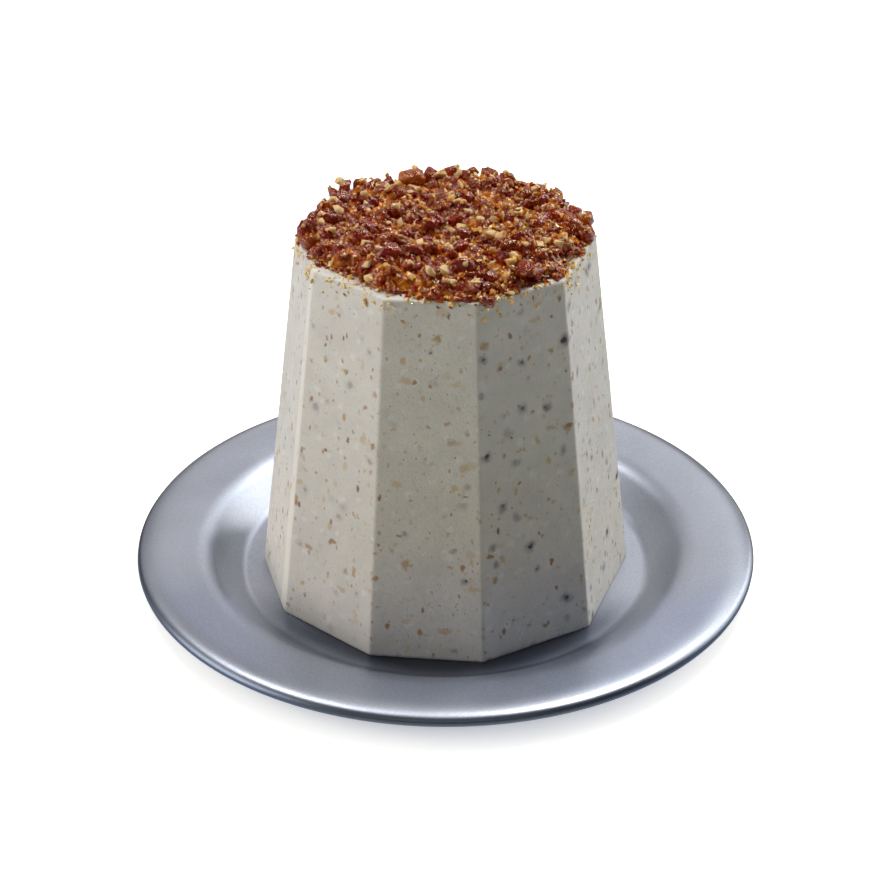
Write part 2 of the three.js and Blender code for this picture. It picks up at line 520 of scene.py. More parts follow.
def satin_steel(settings):
    """Pressed steel with a soft satin grain and faint uneven patches, painted shade at the front of the
    well and a painted dark reflection on the rolled edge.
    """
    material, bench, shader, place = new_material("satin_steel")
    patches = bench.noise(place, 9 * MM, 3)
    grain = bench.noise(place, 0.5 * MM, 2, 0.6)
    tone = bench.blend(patches, colour(settings.metal, 0.94), colour(settings.metal, 1.05))
    tone = bench.blend(bench.ramp(grain, 0.3, 0.7, 0, 0.8), tone, colour(settings.metal, 0.85))
    # Painted shade and reflection: the floor of the well is darkened in front of the foot, and the rolled
    # edge is painted dark blue.
    axes = bench.parts(place)
    reach = bench.vector_math("LENGTH", bench.point(axes[0], axes[1]))
    forward = bench.ramp(axes[1], -8 * MM, -28 * MM)
    foot_shade = bench.times(bench.ramp(reach, 36 * MM, 42.5 * MM, 0.78, 0.0), forward)
    tone = bench.blend(foot_shade, tone, colour((0.03, 0.03, 0.045)))
    # Painted shade: the well and the inner flange are darkened and cooled a little towards the front.
    front_shade = bench.times(bench.ramp(reach, 55 * MM, 58 * MM, 0.8, 0.0), forward)
    tone = bench.blend(front_shade, tone, bench.blend(1.0, tone, colour((0.82, 0.87, 0.98)), "MULTIPLY"))
    # Painted reflection: the rolled edge is painted dark blue all round, for the dark room that it mirrors.
    tone = bench.blend(bench.ramp(reach, 59.1 * MM, 59.7 * MM, 0, 0.75), tone, colour((0.05, 0.085, 0.14)))
    wear_and_sheen = bench.plus(bench.times(grain, 0.08), bench.times(patches, 0.10))
    bench.fill(
        shader,
        {
            "Base Color": tone,
            "Roughness": bench.plus(wear_and_sheen, 0.3),
            "Metallic": 1.0,
            "Normal": bench.bump(grain, 0.05, 0.1 * MM),
        },
    )
    return material


def make_saucer():
    settings = saucer_settings()
    outline = [Vector((p.x, 0, p.y)) for p in saucer_outline(settings)]
    ground = bpy.data.meshes.new("saucer_outline")
    ground.from_pydata(outline, [(i, i + 1) for i in range(len(outline) - 1)], [])
    finish = satin_steel(settings)
    made = grown_mesh(ground, turning_tree(), {"Segments": settings.segments, "Finish": finish})
    face_outwards(made)
    finished_piece("saucer_sheet", made, finish, ("saucer",))


# ---------------------------------------------------------------- dessert


def corner_directions():
    """Direction of each corner, in radians, from the left corner round the front."""
    directions, turn = [], LEFT_CORNER
    for width in FACET_WIDTHS:
        directions.append(math.radians(turn))
        turn += width
    return directions


def facet_at(direction):
    """The facet in a direction: its half width and how far the direction is from its middle."""
    corners = corner_directions()
    turn = (direction - corners[0]) % (2 * math.pi)
    for start, width in zip(corners, FACET_WIDTHS):
        past = turn - (start - corners[0])
        if past < math.radians(width):
            half = math.radians(width) / 2
            return half, past - half
    half = math.radians(FACET_WIDTHS[-1]) / 2
    return half, half


def top_edge(direction):
    """Distance from the axis to the edge of the top face."""
    half, off_middle = facet_at(direction)
    return dessert_settings().top_radius * math.cos(half) / math.cos(off_middle)


# Points along each rounded corner and along each facet of a section.
BEND_STEPS = 6
FACET_STEPS = 42
# Rings of points up the facets, and pits in them.
RINGS = 138
PIT_COUNT = 70


def section(radius, softness, wide):
    """The ten-sided section at one height. The corner at the left front is rounded wider."""
    corners = [Vector((math.cos(a), math.sin(a))) * radius for a in corner_directions()]
    points = []
    ends = []
    for i, corner in enumerate(corners):
        before = (corners[i - 1] - corner).normalized()
        after = (corners[(i + 1) % len(corners)] - corner).normalized()
        start = corner + before * (wide if i == 1 else softness)
        end = corner + after * softness
        bend = []
        for step in range(BEND_STEPS + 1):
            t = step / BEND_STEPS
            bend.append(start * (1 - t) ** 2 + corner * 2 * t * (1 - t) + end * t * t)
        ends.append(bend)
    for i, bend in enumerate(ends):
        following = ends[(i + 1) % len(ends)][0]
        points += bend
        for step in range(1, FACET_STEPS):
            points.append(bend[-1].lerp(following, step / FACET_STEPS))
    return points


def dessert_levels(settings):
    """Heights of the rings with the corner radius at each, up to the top edge."""
    height = DESSERT_TOP - FLOOR
    slope = (settings.base_radius - settings.top_radius) / height
    shoulder = 0.7 * MM
    levels = [(FLOOR, settings.base_radius - 0.2 * MM)]
    for row in range(RINGS + 1):
        rise = 0.2 * MM + (height - shoulder - 0.2 * MM) * row / RINGS
        levels.append((FLOOR + rise, settings.base_radius - slope * rise))
    edge = levels[-1][1]
    for step in range(1, 6):
        turn = math.pi / 2 * step / 5
        inwards = shoulder * 0.9 * (1 - math.cos(turn))
        levels.append((DESSERT_TOP - shoulder * (1 - math.sin(turn)), edge - inwards))
    return levels


def dessert_mesh(settings):
    """Rings of points up the facets, with shallow relief and pits, closed above and below."""
    height = DESSERT_TOP - FLOOR
    draw = random.Random(41)
    pits = []
    for _ in range(PIT_COUNT):
        turn = draw.uniform(0, 2 * math.pi)
        rise = FLOOR + height * draw.uniform(0.02, 0.97)
        pits.append((turn, rise, draw.uniform(0.35, 0.9) * MM, draw.uniform(0.06, 0.2) * MM))
    points, faces, wear_and_sheen = [], [], []
    levels = dessert_levels(settings)
    per_side = BEND_STEPS + FACET_STEPS
    for z, radius in levels:
        rise = (z - FLOOR) / height
        wide = (3.0 - 1.9 * rise) * MM
        near = [p for p in pits if abs(p[1] - z) < p[2]]
        for i, flat in enumerate(section(radius, settings.softness, wide)):
            here = Vector((flat.x, flat.y, z))
            outwards = Vector((flat.x, flat.y, 0)).normalized()
            relief = 0.05 * noise.noise(here / (9 * MM)) + 0.025 * noise.noise(here / (1.6 * MM))
            dent = 0.0
            for turn, level, reach, depth in near:
                middle = Vector((math.cos(turn), math.sin(turn), 0)) * Vector((here.x, here.y)).length
                apart = (Vector((here.x, here.y, 0)) - middle).length
                apart = math.hypot(apart, z - level) / reach
                if apart < 1:
                    dent = max(dent, depth * (1 - apart * apart) ** 2)
            points.append(here + outwards * (relief * MM - dent - 0.03 * MM))
            # Points on the wide left front corner are marked for a painted sheen, a paler cream laid on in
            # the material.
            wear_and_sheen.append(1.0 if per_side <= i < per_side + BEND_STEPS else 0.0)
    around = per_side * len(FACET_WIDTHS)
    for level in range(len(levels) - 1):
        for i in range(around):
            j = (i + 1) % around
            a, b = level * around, (level + 1) * around
            faces.append((a + i, a + j, b + j, b + i))
    for level, z in ((0, FLOOR), (len(levels) - 1, DESSERT_TOP)):
        ring = [level * around + i for i in range(around)]
        for share in (0.93, 0.75, 0.45):
            inner = []
            for i in range(around):
                edge = points[level * around + i]
                lift = 0 if level == 0 else -0.06 * MM * (1 + noise.noise(edge * share / (3 * MM)))
                inner.append(len(points))
                points.append(Vector((edge.x * share, edge.y * share, z + lift)))
            for i in range(around):
                j = (i + 1) % around
                quad = (ring[i], ring[j], inner[j], inner[i])
                faces.append(quad if level else quad[::-1])
            ring = inner
        middle = len(points)
        points.append(Vector((0, 0, z if level == 0 else z - 0.06 * MM)))
        for i in range(around):
            j = (i + 1) % around
            triangle = (ring[i], ring[j], middle)
            faces.append(triangle if level else triangle[::-1])
    mesh = mesh_from("semifreddo", points, faces)
    painted_sheen = mesh.attributes.new("wear_and_sheen", "FLOAT", "POINT")
    painted_sheen.data.foreach_set("value", wear_and_sheen + [0.0] * (len(points) - len(wear_and_sheen)))
    return mesh


def flecks(bench, place, cell, low, high, share, turn, stretch=(1, 1, 1), soft=0.35, ragged=0.25):
    """Mask of specks strewn through the cream, and a random tone for each.

    The cells that they lie in, and the least and the most half width, are in millimetres.
    """
    cell, low, high = cell * MM, low * MM, high * MM
    bend = bench.scaled(bench.shift(place, 1 / (high * 1.3), 2.0), high * ragged * 4)
    sockets = {
        "Vector": bench.vector_math("ADD", place, bend),
        "Location": [0.1 * turn[0]] * 3,
        "Rotation": turn,
        "Scale": stretch,
    }
    laid = bench.add("ShaderNodeMapping", sockets)
    cells = bench.add("ShaderNodeTexVoronoi", {"Vector": laid.outputs[0], "Scale": 1 / cell})
    tone = bench.add("ShaderNodeSeparateColor", {0: cells.outputs["Color"]})
    reach = bench.ramp(tone.outputs[0], 1 - share, 1.0, low / cell, high / cell, "LINEAR")
    there = bench.math("GREATER_THAN", tone.outputs[0], 1 - share)
    inner = bench.times(reach, 1 - soft)
    mask = bench.ramp(cells.outputs["Distance"], inner, reach, 1.0, 0.0)
    return bench.times(mask, there), tone.outputs[1]


def frozen_cream(settings):
    """Matt frozen cream with nut flecks, skins, smudges, paler lumps and tiny pits."""
    material, bench, shader, place = new_material("frozen_nougat_cream")
    across = bench.parts(place)[0]
    cloud = bench.noise(place, 7 * MM, 3, 0.6)
    mottle = bench.noise(place, 1.6 * MM, 3, 0.6)
    fine = bench.noise(place, 0.4 * MM, 3, 0.7)
    cream = settings.cream
    tone = bench.blend(bench.ramp(cloud, 0.3, 0.7), colour(cream, 0.94), colour(cream, 1.03))
    tone = bench.blend(bench.ramp(mottle, 0.5, 0.75, 0, 0.5), tone, colour((0.80, 0.79, 0.75)))
    tone = bench.blend(bench.ramp(fine, 0.5, 0.8, 0, 0.75), tone, colour(cream, 0.76))
    pale, _ = flecks(bench, place, 2.8, 0.5, 1.2, 0.6, (1.1, 0.3, 0.2), soft=0.6, ragged=0.4)
    tone = bench.layer(tone, pale, 0.6, colour((0.93, 0.92, 0.87)))
    # Layers of flecks: cell, least and most half width, share, turn, stretch, softness, strength.
    tan = settings.tan_fleck
    brown = (tan[0] * 0.66, tan[1] * 0.46, tan[2] * 0.34)
    for cell, low, high, share, turn, stretch, soft, strength in (
        (1.6, 0.2, 0.6, 0.75, (0.3, 0.9, 0.4), (1, 1, 0.8), 0.85, 0.75),
        (3.6, 0.5, 1.4, 0.5, (2.2, 0.2, 1.0), (1, 1.8, 0.9), 0.6, 0.9),
        (3.0, 0.4, 1.15, 0.45, (1.2, 1.4, 2.1), (0.5, 1.4, 1.2), 0.6, 0.8),
        (2.3, 0.22, 0.65, 0.5, (0.9, 2.4, 1.1), (1, 0.8, 0.6), 0.5, 0.9),
    ):
        mask, shade = flecks(bench, place, cell, low, high, share, turn, stretch, soft, 0.4)
        paint = bench.blend(bench.ramp(shade, 0.45, 0.95), colour(tan, 1.1), colour(brown))
        mask = bench.times(mask, bench.ramp(shade, 0, 0.9, 0.35, 1.0, "LINEAR"))
        tone = bench.layer(tone, mask, strength, paint)
    # Bruised smudges round dark skins lie mostly on the right of the front.
    smudge, _ = flecks(bench, place, 4.4, 0.8, 1.9, 0.6, (3.0, 0.5, 2.0), soft=0.9, ragged=0.3)
    to_right = bench.ramp(across, -12 * MM, 10 * MM, 0.3, 1.0)
    smudge = bench.times(smudge, to_right)
    tone = bench.layer(tone, smudge, 0.75, colour((0.25, 0.215, 0.235)))
    core, _ = flecks(bench, place, 4.4, 0.3, 0.85, 0.5, (3.0, 0.5, 2.0), soft=0.5, ragged=0.3)
    tone = bench.layer(tone, core, to_right, colour((0.09, 0.065, 0.07)))
    dark = settings.dark_fleck
    skins, shade = flecks(bench, place, 2.6, 0.16, 0.5, 0.42, (0.7, 1.6, 0.3), (1, 1, 0.5), soft=0.55)
    tone = bench.layer(tone, skins, 0.8, bench.blend(shade, colour(dark), colour(brown)))
    # Tiny pits, pressed in by the bump and painted dark: painted shade in the pits.
    shaded_pits, _ = flecks(bench, place, 1.3, 0.09, 0.2, 0.5, (5.0, 1.0, 0.4), soft=0.5, ragged=0.1)
    tone = bench.layer(tone, shaded_pits, 0.5, colour(dark, 1.6))
    # Painted sheen: the wide left front corner is laid over with a paler cream.
    wear_and_sheen = bench.attribute("wear_and_sheen")
    tone = bench.layer(tone, wear_and_sheen, 0.75, colour((0.97, 0.93, 0.82)))
    height = bench.plus(fine, mottle)
    height = bench.math("SUBTRACT", height, bench.times(shaded_pits, 3.0))
    bench.fill(
        shader,
        {
            "Base Color": tone,
            "Roughness": bench.ramp(fine, 0.2, 0.8, 0.45, 0.62),
            "Specular IOR Level": 0.4,
            "Subsurface Weight": 0.2,
            "Subsurface Radius": (1.0, 0.8, 0.6),
            "Subsurface Scale": 0.8 * MM,
            "Normal": bench.bump(height, 0.6, 0.12 * MM),
        },
    )
    return material


def make_dessert():
    settings = dessert_settings()
    mesh = dessert_mesh(settings)
    finished_piece("frozen_dessert", mesh, frozen_cream(settings), ("semifreddo",))


# ---------------------------------------------------------------- brittle: bed


def bare_rim(direction):
    """Width of the rim left bare, eased from one named direction to the next."""
    degrees = math.degrees(direction)
    for (start, width), (end, following) in zip(BARE_RIM, BARE_RIM[1:] + BARE_RIM[:1]):
        span = (end - start) % 360
        past = (degrees - start) % 360
        if past < span:
            return (width + (following - width) * smoothstep(past, 0, span)) * MM
    return BARE_RIM[0][1] * MM


def bed_radius(direction):
    return top_edge(direction) - bare_rim(direction)


def disc_points(rings, sides, height_at, inset=0.0, wobble=0.0):
    """Rings of points over the brittle's outline, from the middle out."""
    points = [Vector((0, 0, height_at(0, 0, Vector((0, 0)))))]
    for ring in range(1, rings + 1):
        reach = ring / rings
        for side in range(sides):
            turn = 2 * math.pi * side / sides
            ragged = wobble * noise.noise(Vector((math.cos(turn), math.sin(turn), 3)) * 9)
            flat = Vector((math.cos(turn), math.sin(turn))) * (bed_radius(turn) - inset + ragged) * reach
            points.append(Vector((flat.x, flat.y, height_at(reach, turn, flat))))
    return points


def disc_faces(rings, sides):
    faces = [(0, 1 + side, 1 + (side + 1) % sides) for side in range(sides)]
    for ring in range(1, rings):
        a, b = 1 + (ring - 1) * sides, 1 + ring * sides
        for side in range(sides):
            j = (side + 1) % sides
            faces.append((a + side, b + side, b + j, a + j))
    return faces


def bed_ground():
    """A closed flat cake of the bed's outline. Its top is loose, and the rest stays where it is."""
    rings, sides = 104, 460
    points = disc_points(rings, sides, lambda *_: DESSERT_TOP + 0.1 * MM, inset=0.9 * MM, wobble=1.2 * MM)
    faces = disc_faces(rings, sides)
    loose = [1.0 - smoothstep(i, len(points) - 11 * sides, len(points)) * 0.85 for i in range(len(points))]
    rim = 1 + (rings - 1) * sides
    low = len(points)
    for side in range(sides):
        edge = points[rim + side]
        points.append(Vector((edge.x * 0.985, edge.y * 0.985, DESSERT_TOP - 0.1 * MM)))
    middle = len(points)
    points.append(Vector((0, 0, DESSERT_TOP - 0.1 * MM)))
    for side in range(sides):
        j = (side + 1) % sides
        faces.append((rim + side, low + side, low + j, rim + j))
        faces.append((low + side, middle, low + j))
    mesh = mesh_from("bed_ground", points, faces)
    mesh.attributes.new("loose", "FLOAT", "POINT").data.foreach_set(
        "value", loose + [0.0] * (len(points) - len(loose))
    )
    return mesh


def lumpy_tree():
    """Raises the loose points into packed lumps, large and small, each remembering its own tint."""
    tree, bench, given, result = new_tree(
        "lumpy_bed",
        [
            ("Ground", "Geometry"),
            ("Depth", "Float"),
            ("Large lump", "Float"),
            ("Small lump", "Float"),
            ("Finish", "Material"),
        ],
    )
    here = bench.add("GeometryNodeInputPosition").outputs[0]
    moved = bench.scaled(bench.shift(here, 1 / (1.5 * MM), 1.0), 0.9 * MM)
    place = bench.vector_math("ADD", here, moved)

    def lumps(size, number):
        moved = bench.vector_math("ADD", place, (number, 0, 0))
        scale = bench.math("DIVIDE", 1.0, size)
        cells = bench.add("ShaderNodeTexVoronoi", {"Vector": moved, "Scale": scale})
        crown = bench.math("SUBTRACT", 1.0, bench.math("POWER", cells.outputs["Distance"], 1.5))
        tints = bench.add("FunctionNodeSeparateColor", {0: cells.outputs["Color"]}).outputs
        return bench.math("MAXIMUM", crown, 0.0), tints

    large, large_tints = lumps(given["Large lump"], 0.4)
    small, small_tints = lumps(given["Small lump"], 0.9)
    tall = bench.times(large, bench.ramp(large_tints[2], 0, 1, 0.2, 1.5, "LINEAR"))
    short = bench.times(small, bench.ramp(small_tints[2], 0, 1, 0.1, 0.8, "LINEAR"))
    swell = bench.add("ShaderNodeTexNoise", {"Vector": here, "Scale": 1 / (9 * MM), "Detail": 0.0})
    swell = bench.ramp(swell.outputs["Fac"], 0.35, 0.65, 0.55, 1.25)
    rise = bench.plus(bench.plus(tall, short), swell)
    rise = bench.times(rise, given["Depth"])
    rise = bench.times(rise, stored(bench, "loose"))
    lift = bench.point(z=rise)
    raised = bench.add("GeometryNodeSetPosition", {"Geometry": given["Ground"], "Offset": lift}).outputs[0]
    whole = bench.add("GeometryNodeRealizeInstances", {0: raised}).outputs[0]
    coated = bench.add("GeometryNodeSetMaterial", {0: whole, "Material": given["Finish"]}).outputs[0]
    bench.feed(result.inputs[0], coated)
    # The tints are read before the points move.
    kept = given["Ground"]
    for name, value in (("large_tint", large_tints[0]), ("small_tint", small_tints[0]), ("crown", small)):
        kept = keep(bench, kept, name, value)
    bench.feed(raised.node.inputs["Geometry"], kept)
    return tree


# What the caramel itself mirrors takes its warmth. Its clear coat mirrors white.
WARM_GLOSS = (1.0, 0.7, 0.45, 1.0)


def glazed_mass(settings):
    """The crushed bed: glassy caramel lumps of every shade, with bits of nut glazed into it."""
    material, bench, shader, place = new_material("glazed_mass")
    large = bench.attribute("large_tint")
    small = bench.attribute("small_tint")
    crown = bench.attribute("crown")
    waves = bench.noise(place, 1.1 * MM, 2, 0.5)
    pores = bench.noise(place, 0.35 * MM, 2, 0.6)
    thin = bench.plus(bench.ramp(large, 0.3, 0.9, 0.0, 0.85), bench.ramp(waves, 0.4, 0.75, -0.1, 0.3))
    # The bed is a darker copy of the caramel colours, and shows in the gaps between the pieces: partly
    # painted shade in the gaps.
    tone = bench.blend(thin, colour(settings.deep_caramel, 0.45), colour(settings.thin_caramel, 0.78))
    nutty = bench.times(bench.ramp(small, 0.76, 0.80), bench.ramp(crown, 0.75, 0.9))
    browned = colour((0.62, 0.24, 0.035))
    crushed = bench.blend(bench.ramp(pores, 0.4, 0.65), browned, colour(settings.nut_flesh, 0.9))
    tone = bench.layer(tone, nutty, 0.85, crushed)
    height = bench.plus(waves, bench.times(pores, 0.35))
    relief = bench.bump(height, 0.6, 0.3 * MM)
    bench.fill(
        shader,
        {
            "Base Color": tone,
            "Roughness": bench.ramp(pores, 0.3, 0.7, 0.05, 0.14),
            "IOR": 1.5,
            "Specular Tint": WARM_GLOSS,
            "Coat Weight": 0.5,
            "Coat Roughness": 0.03,
            "Subsurface Weight": 0.12,
            "Subsurface Radius": (1.0, 0.3, 0.06),
            "Subsurface Scale": 1.0 * MM,
            "Normal": relief,
            "Coat Normal": relief,
        },
    )
    return material


def make_bed():
    settings = brittle_settings()
    finish = glazed_mass(settings)
    made = grown_mesh(
        bed_ground(),
        lumpy_tree(),
        {"Depth": settings.bed, "Large lump": 2.4 * MM, "Small lump": 1.0 * MM, "Finish": finish},
    )
    face_outwards(made)
    finished_piece("brittle_bed", made, finish, ("brittle_topping",))


# ---------------------------------------------------------------- brittle: pieces


def named_form(name, form, sharp_from=None):
    """Keeps a form as a mesh that remembers each point's own place, so colour can follow it."""
    bmesh.ops.recalc_face_normals(form, faces=form.faces)
    mesh = bpy.data.meshes.new(name)
    form.to_mesh(mesh)
    form.free()
    mesh.polygons.foreach_set("use_smooth", [True] * len(mesh.polygons))
    if sharp_from is not None:
        mesh.set_sharp_from_angle(angle=math.radians(sharp_from))
    own = mesh.attributes.new("own_place", "FLOAT_VECTOR", "POINT")
    own.data.foreach_set("vector", [c for v in mesh.vertices for c in v.co])
    return bpy.data.objects.new(name, mesh)


def hull(corners, rounding=0.0):
    form = bmesh.new()
    for corner in corners:
        form.verts.new(corner)
    made = bmesh.ops.convex_hull(form, input=form.verts)
    spare = {g for g in made["geom_interior"] + made["geom_unused"] if isinstance(g, bmesh.types.BMVert)}
    bmesh.ops.delete(form, geom=list(spare), context="VERTS")
    bmesh.ops.dissolve_limit(form, angle_limit=math.radians(8), verts=form.verts, edges=form.edges)
    if rounding:
        bmesh.ops.bevel(
            form, geom=form.edges[:], offset=rounding, segments=1, affect="EDGES", clamp_overlap=True
        )
    return form


def any_way(draw):
    return Vector((draw.gauss(0, 1), draw.gauss(0, 1), draw.gauss(0, 1))).normalized()


def shard_form(draw, thick=(0.32, 0.52)):
    """A broken lump of caramel: two flattish faces and slanted broken sides, edges melted round."""
    corners = []
    depth = draw.uniform(*thick)
    sides = draw.randint(4, 6)
    for level in (-0.5, 0.5):
        start = draw.uniform(0, 0.5)
        for side in range(sides):
            turn = start + 2 * math.pi * (side + draw.uniform(-0.28, 0.28)) / sides
            reach = draw.uniform(0.28, 0.56)
            corner = Vector((math.cos(turn) * reach, math.sin(turn) * reach * 0.75, level * depth))
            corner.z *= draw.uniform(0.7, 1.0)
            corners.append(corner)
    return hull(corners, 0.06)


def chip_form(draw):
    """A small angular bit of caramel."""
    corners = []
    for _ in range(9):
        along = any_way(draw)
        corners.append(Vector((along.x * 0.5, along.y * 0.4, along.z * 0.32)) * draw.uniform(0.8, 1.0))
    return hull(corners)


def seed_form(draw):
    """A small whole seed, pointed at one end."""
    form = bmesh.new()
    bmesh.ops.create_icosphere(form, subdivisions=2, radius=0.5)
    wide, deep = draw.uniform(0.5, 0.6), draw.uniform(0.34, 0.42)
    for vert in form.verts:
        here = vert.co
        taper = 1 - 0.9 * max(here.x + 0.1, 0)
        vert.co = Vector((here.x, here.y * wide * taper, here.z * deep * taper))
    return form


def nut_form(draw):
    """A chopped bit of nut: uneven, with flat cut faces and blunt edges."""
    corners = []
    for _ in range(13):
        along = any_way(draw)
        corners.append(Vector((along.x * 0.5, along.y * 0.38, along.z * 0.3)) * draw.uniform(0.75, 1.0))
    return hull(corners, 0.03)


def crumb_form(draw):
    return hull([any_way(draw) * draw.uniform(0.34, 0.5) for _ in range(7)])


def shape_set(name, forms, sharp_from):
    """A collection of source shapes, outside the scene."""
    shapes = bpy.data.collections.new(name)
    for number, form in enumerate(forms):
        shapes.objects.link(named_form(f"{name}_{number:02d}", form, sharp_from))
    return shapes


def drop_shapes(shapes):
    """Deletes a collection of source shapes once they are used."""
    for thing in list(shapes.objects):
        bpy.data.objects.remove(thing)
    bpy.data.collections.remove(shapes)


def stored(bench, name, kind="FLOAT"):
    """Reads an attribute that the points carry."""
    return bench.add("GeometryNodeInputNamedAttribute", {"Name": name}, data_type=kind).outputs["Attribute"]


def keep(bench, geometry, name, value, kind="FLOAT"):
    """Writes an attribute on the points."""
    return bench.add(
        "GeometryNodeStoreNamedAttribute",
        {"Geometry": geometry, "Name": name, "Value": value},
        data_type=kind,
        domain="POINT",
    ).outputs[0]


def strewing_tree(name, falling, by_hand=False):
    """Strews shapes over a ground, or lays them at its given points.

    Falling ones land on what already lies in the heap.
    """
    tree, bench, given, result = new_tree(
        name,
        [
            ("Ground", "Geometry"),
            ("Shapes", "Collection"),
            ("Heap", "Collection"),
            ("Spacing", "Float"),
            ("Density", "Float"),
            ("Smallest", "Float"),
            ("Largest", "Float"),
            ("Small share", "Float"),
            ("Tilt", "Float"),
            ("Lift", "Float"),
            ("Unevenness", "Float"),
            ("Highest", "Float"),
            ("Seed", "Int"),
            ("Finish", "Material"),
        ],
    )

    def chance(low, high, number, kind="FLOAT"):
        at = {"FLOAT_VECTOR": 0, "FLOAT": 2, "INT": 4}[kind]
        seed = bench.plus(given["Seed"], number)
        node = bench.add("FunctionNodeRandomValue", {at: low, at + 1: high, "Seed": seed}, data_type=kind)
        return node.outputs[{"FLOAT_VECTOR": 0, "FLOAT": 1, "INT": 2}[kind]]

    here = bench.add("GeometryNodeInputPosition").outputs[0]
    if by_hand:
        points = bench.add("GeometryNodeMeshToPoints", {"Mesh": given["Ground"]}).outputs[0]
        size, spin, shape = stored(bench, "length"), stored(bench, "spin"), stored(bench, "shape", "INT")
    else:
        strewn = bench.add(
            "GeometryNodeDistributePointsOnFaces",
            {
                "Mesh": given["Ground"],
                "Distance Min": given["Spacing"],
                "Density Max": given["Density"],
                "Density Factor": stored(bench, "share"),
                "Seed": given["Seed"],
            },
            distribute_method="POISSON",
        )
        points = keep(bench, strewn.outputs["Points"], "tint", chance(0.0, 1.0, 2))
        bias = bench.math("POWER", chance(0.0, 1.0, 1), given["Small share"])
        size = bench.add(
            "ShaderNodeMapRange", {0: bias, 3: given["Smallest"], 4: given["Largest"]}
        ).outputs[0]
        spin, shape = chance(0.0, 2 * math.pi, 5), chance(0, 99, 7, "INT")
    if falling:
        axes = bench.parts(here)
        heap = bench.add("GeometryNodeCollectionInfo", {"Collection": given["Heap"]}).outputs[0]
        landing = bench.add(
            "GeometryNodeRaycast",
            {
                "Target Geometry": bench.add("GeometryNodeRealizeInstances", {0: heap}).outputs[0],
                "Source Position": bench.point(axes[0], axes[1], 0.1),
                "Ray Direction": (0, 0, -1),
                "Ray Length": 0.2,
            },
        )
        # A piece that would miss the heap is left out.
        missed = bench.add("FunctionNodeBooleanMath", {0: landing.outputs["Is Hit"]}, operation="NOT")
        points = bench.add(
            "GeometryNodeDeleteGeometry", {0: points, 1: missed.outputs[0]}, domain="POINT"
        ).outputs[0]
        slope = bench.vector_math("ADD", landing.outputs["Hit Normal"], (0, 0, 0.8))
        spot = landing.outputs["Hit Position"]
    elif by_hand:
        slope, spot = (0, 0, 1), here
    else:
        slope, spot = strewn.outputs["Normal"], here
    # Which way is up is kept before the points move.
    points = keep(bench, points, "up", bench.vector_math("NORMALIZE", slope), "FLOAT_VECTOR")
    up = stored(bench, "up", "FLOAT_VECTOR")
    rise = bench.times(size, given["Lift"])
    spot = bench.parts(bench.vector_math("ADD", spot, bench.scaled(up, rise)))
    # A tall piece sinks into the heap, so that it stays below the highest level.
    ceiling = bench.math("SUBTRACT", given["Highest"], bench.times(size, 0.33))
    sunk = bench.point(spot[0], spot[1], bench.math("MINIMUM", spot[2], ceiling))
    placed = bench.add("GeometryNodeSetPosition", {"Geometry": points, "Position": sunk}).outputs[0]
    stood = bench.add("FunctionNodeAlignRotationToVector", {"Vector": up}, axis="Z").outputs[0]
    tilt = given["Tilt"]
    back = bench.times(tilt, -1)
    lean = bench.point(chance(back, tilt, 3), chance(back, tilt, 4), spin)
    leant = bench.add("FunctionNodeEulerToRotation", {0: lean}).outputs[0]
    turned = bench.add("FunctionNodeRotateRotation", {0: stood, 1: leant}, rotation_space="LOCAL")
    stretch = chance((0.85, 0.75, 0.8), (1.0, 1.1, 1.2), 6, "FLOAT_VECTOR")
    laid = bench.add(
        "GeometryNodeInstanceOnPoints",
        {
            "Points": placed,
            "Instance": bench.add(
                "GeometryNodeCollectionInfo",
                {"Collection": given["Shapes"], "Separate Children": True, "Reset Children": True},
            ).outputs[0],
            "Pick Instance": True,
            "Instance Index": shape,
            "Rotation": turned.outputs[0],
            "Scale": bench.scaled(stretch, size),
        },
    ).outputs[0]
    whole = bench.add("GeometryNodeRealizeInstances", {0: laid}).outputs[0]
    # Every piece is bent a little its own way.
    corner = bench.add("GeometryNodeInputPosition").outputs[0]
    bend = bench.scaled(bench.shift(corner, 1 / (1.6 * MM), 1.0), given["Unevenness"])
    corner = bench.parts(bench.vector_math("ADD", corner, bend))
    lowered = bench.point(corner[0], corner[1], bench.math("MINIMUM", corner[2], given["Highest"]))
    kept = bench.add("GeometryNodeSetPosition", {"Geometry": whole, "Position": lowered}).outputs[0]
    coated = bench.add("GeometryNodeSetMaterial", {0: kept, "Material": given["Finish"]})
    bench.feed(result.inputs[0], coated.outputs[0])
    return tree


def brittle_ground(inset, share_at):
    """Flat ground inside the brittle's outline, with how densely each place is strewn."""
    rings, sides = 24, 96
    points = disc_points(rings, sides, lambda *_: DESSERT_TOP, inset=inset)
    mesh = mesh_from("brittle_ground", points, disc_faces(rings, sides))
    share = mesh.attributes.new("share", "FLOAT", "POINT")
    share.data.foreach_set("value", [share_at(point) for point in points])
    return mesh


# What lies in the heap, in the order in which it is laid.
HEAP = (
    "frozen_dessert",
    "brittle_bed",
    "broken_caramel",
    "caramel_chips",
    "caramel_shards",
    "rim_caramel",
    "chopped_nuts",
)


def heap_of(names):
    heap = bpy.data.collections.new("heap")
    for name in names:
        heap.objects.link(bpy.data.objects[name])
    return heap


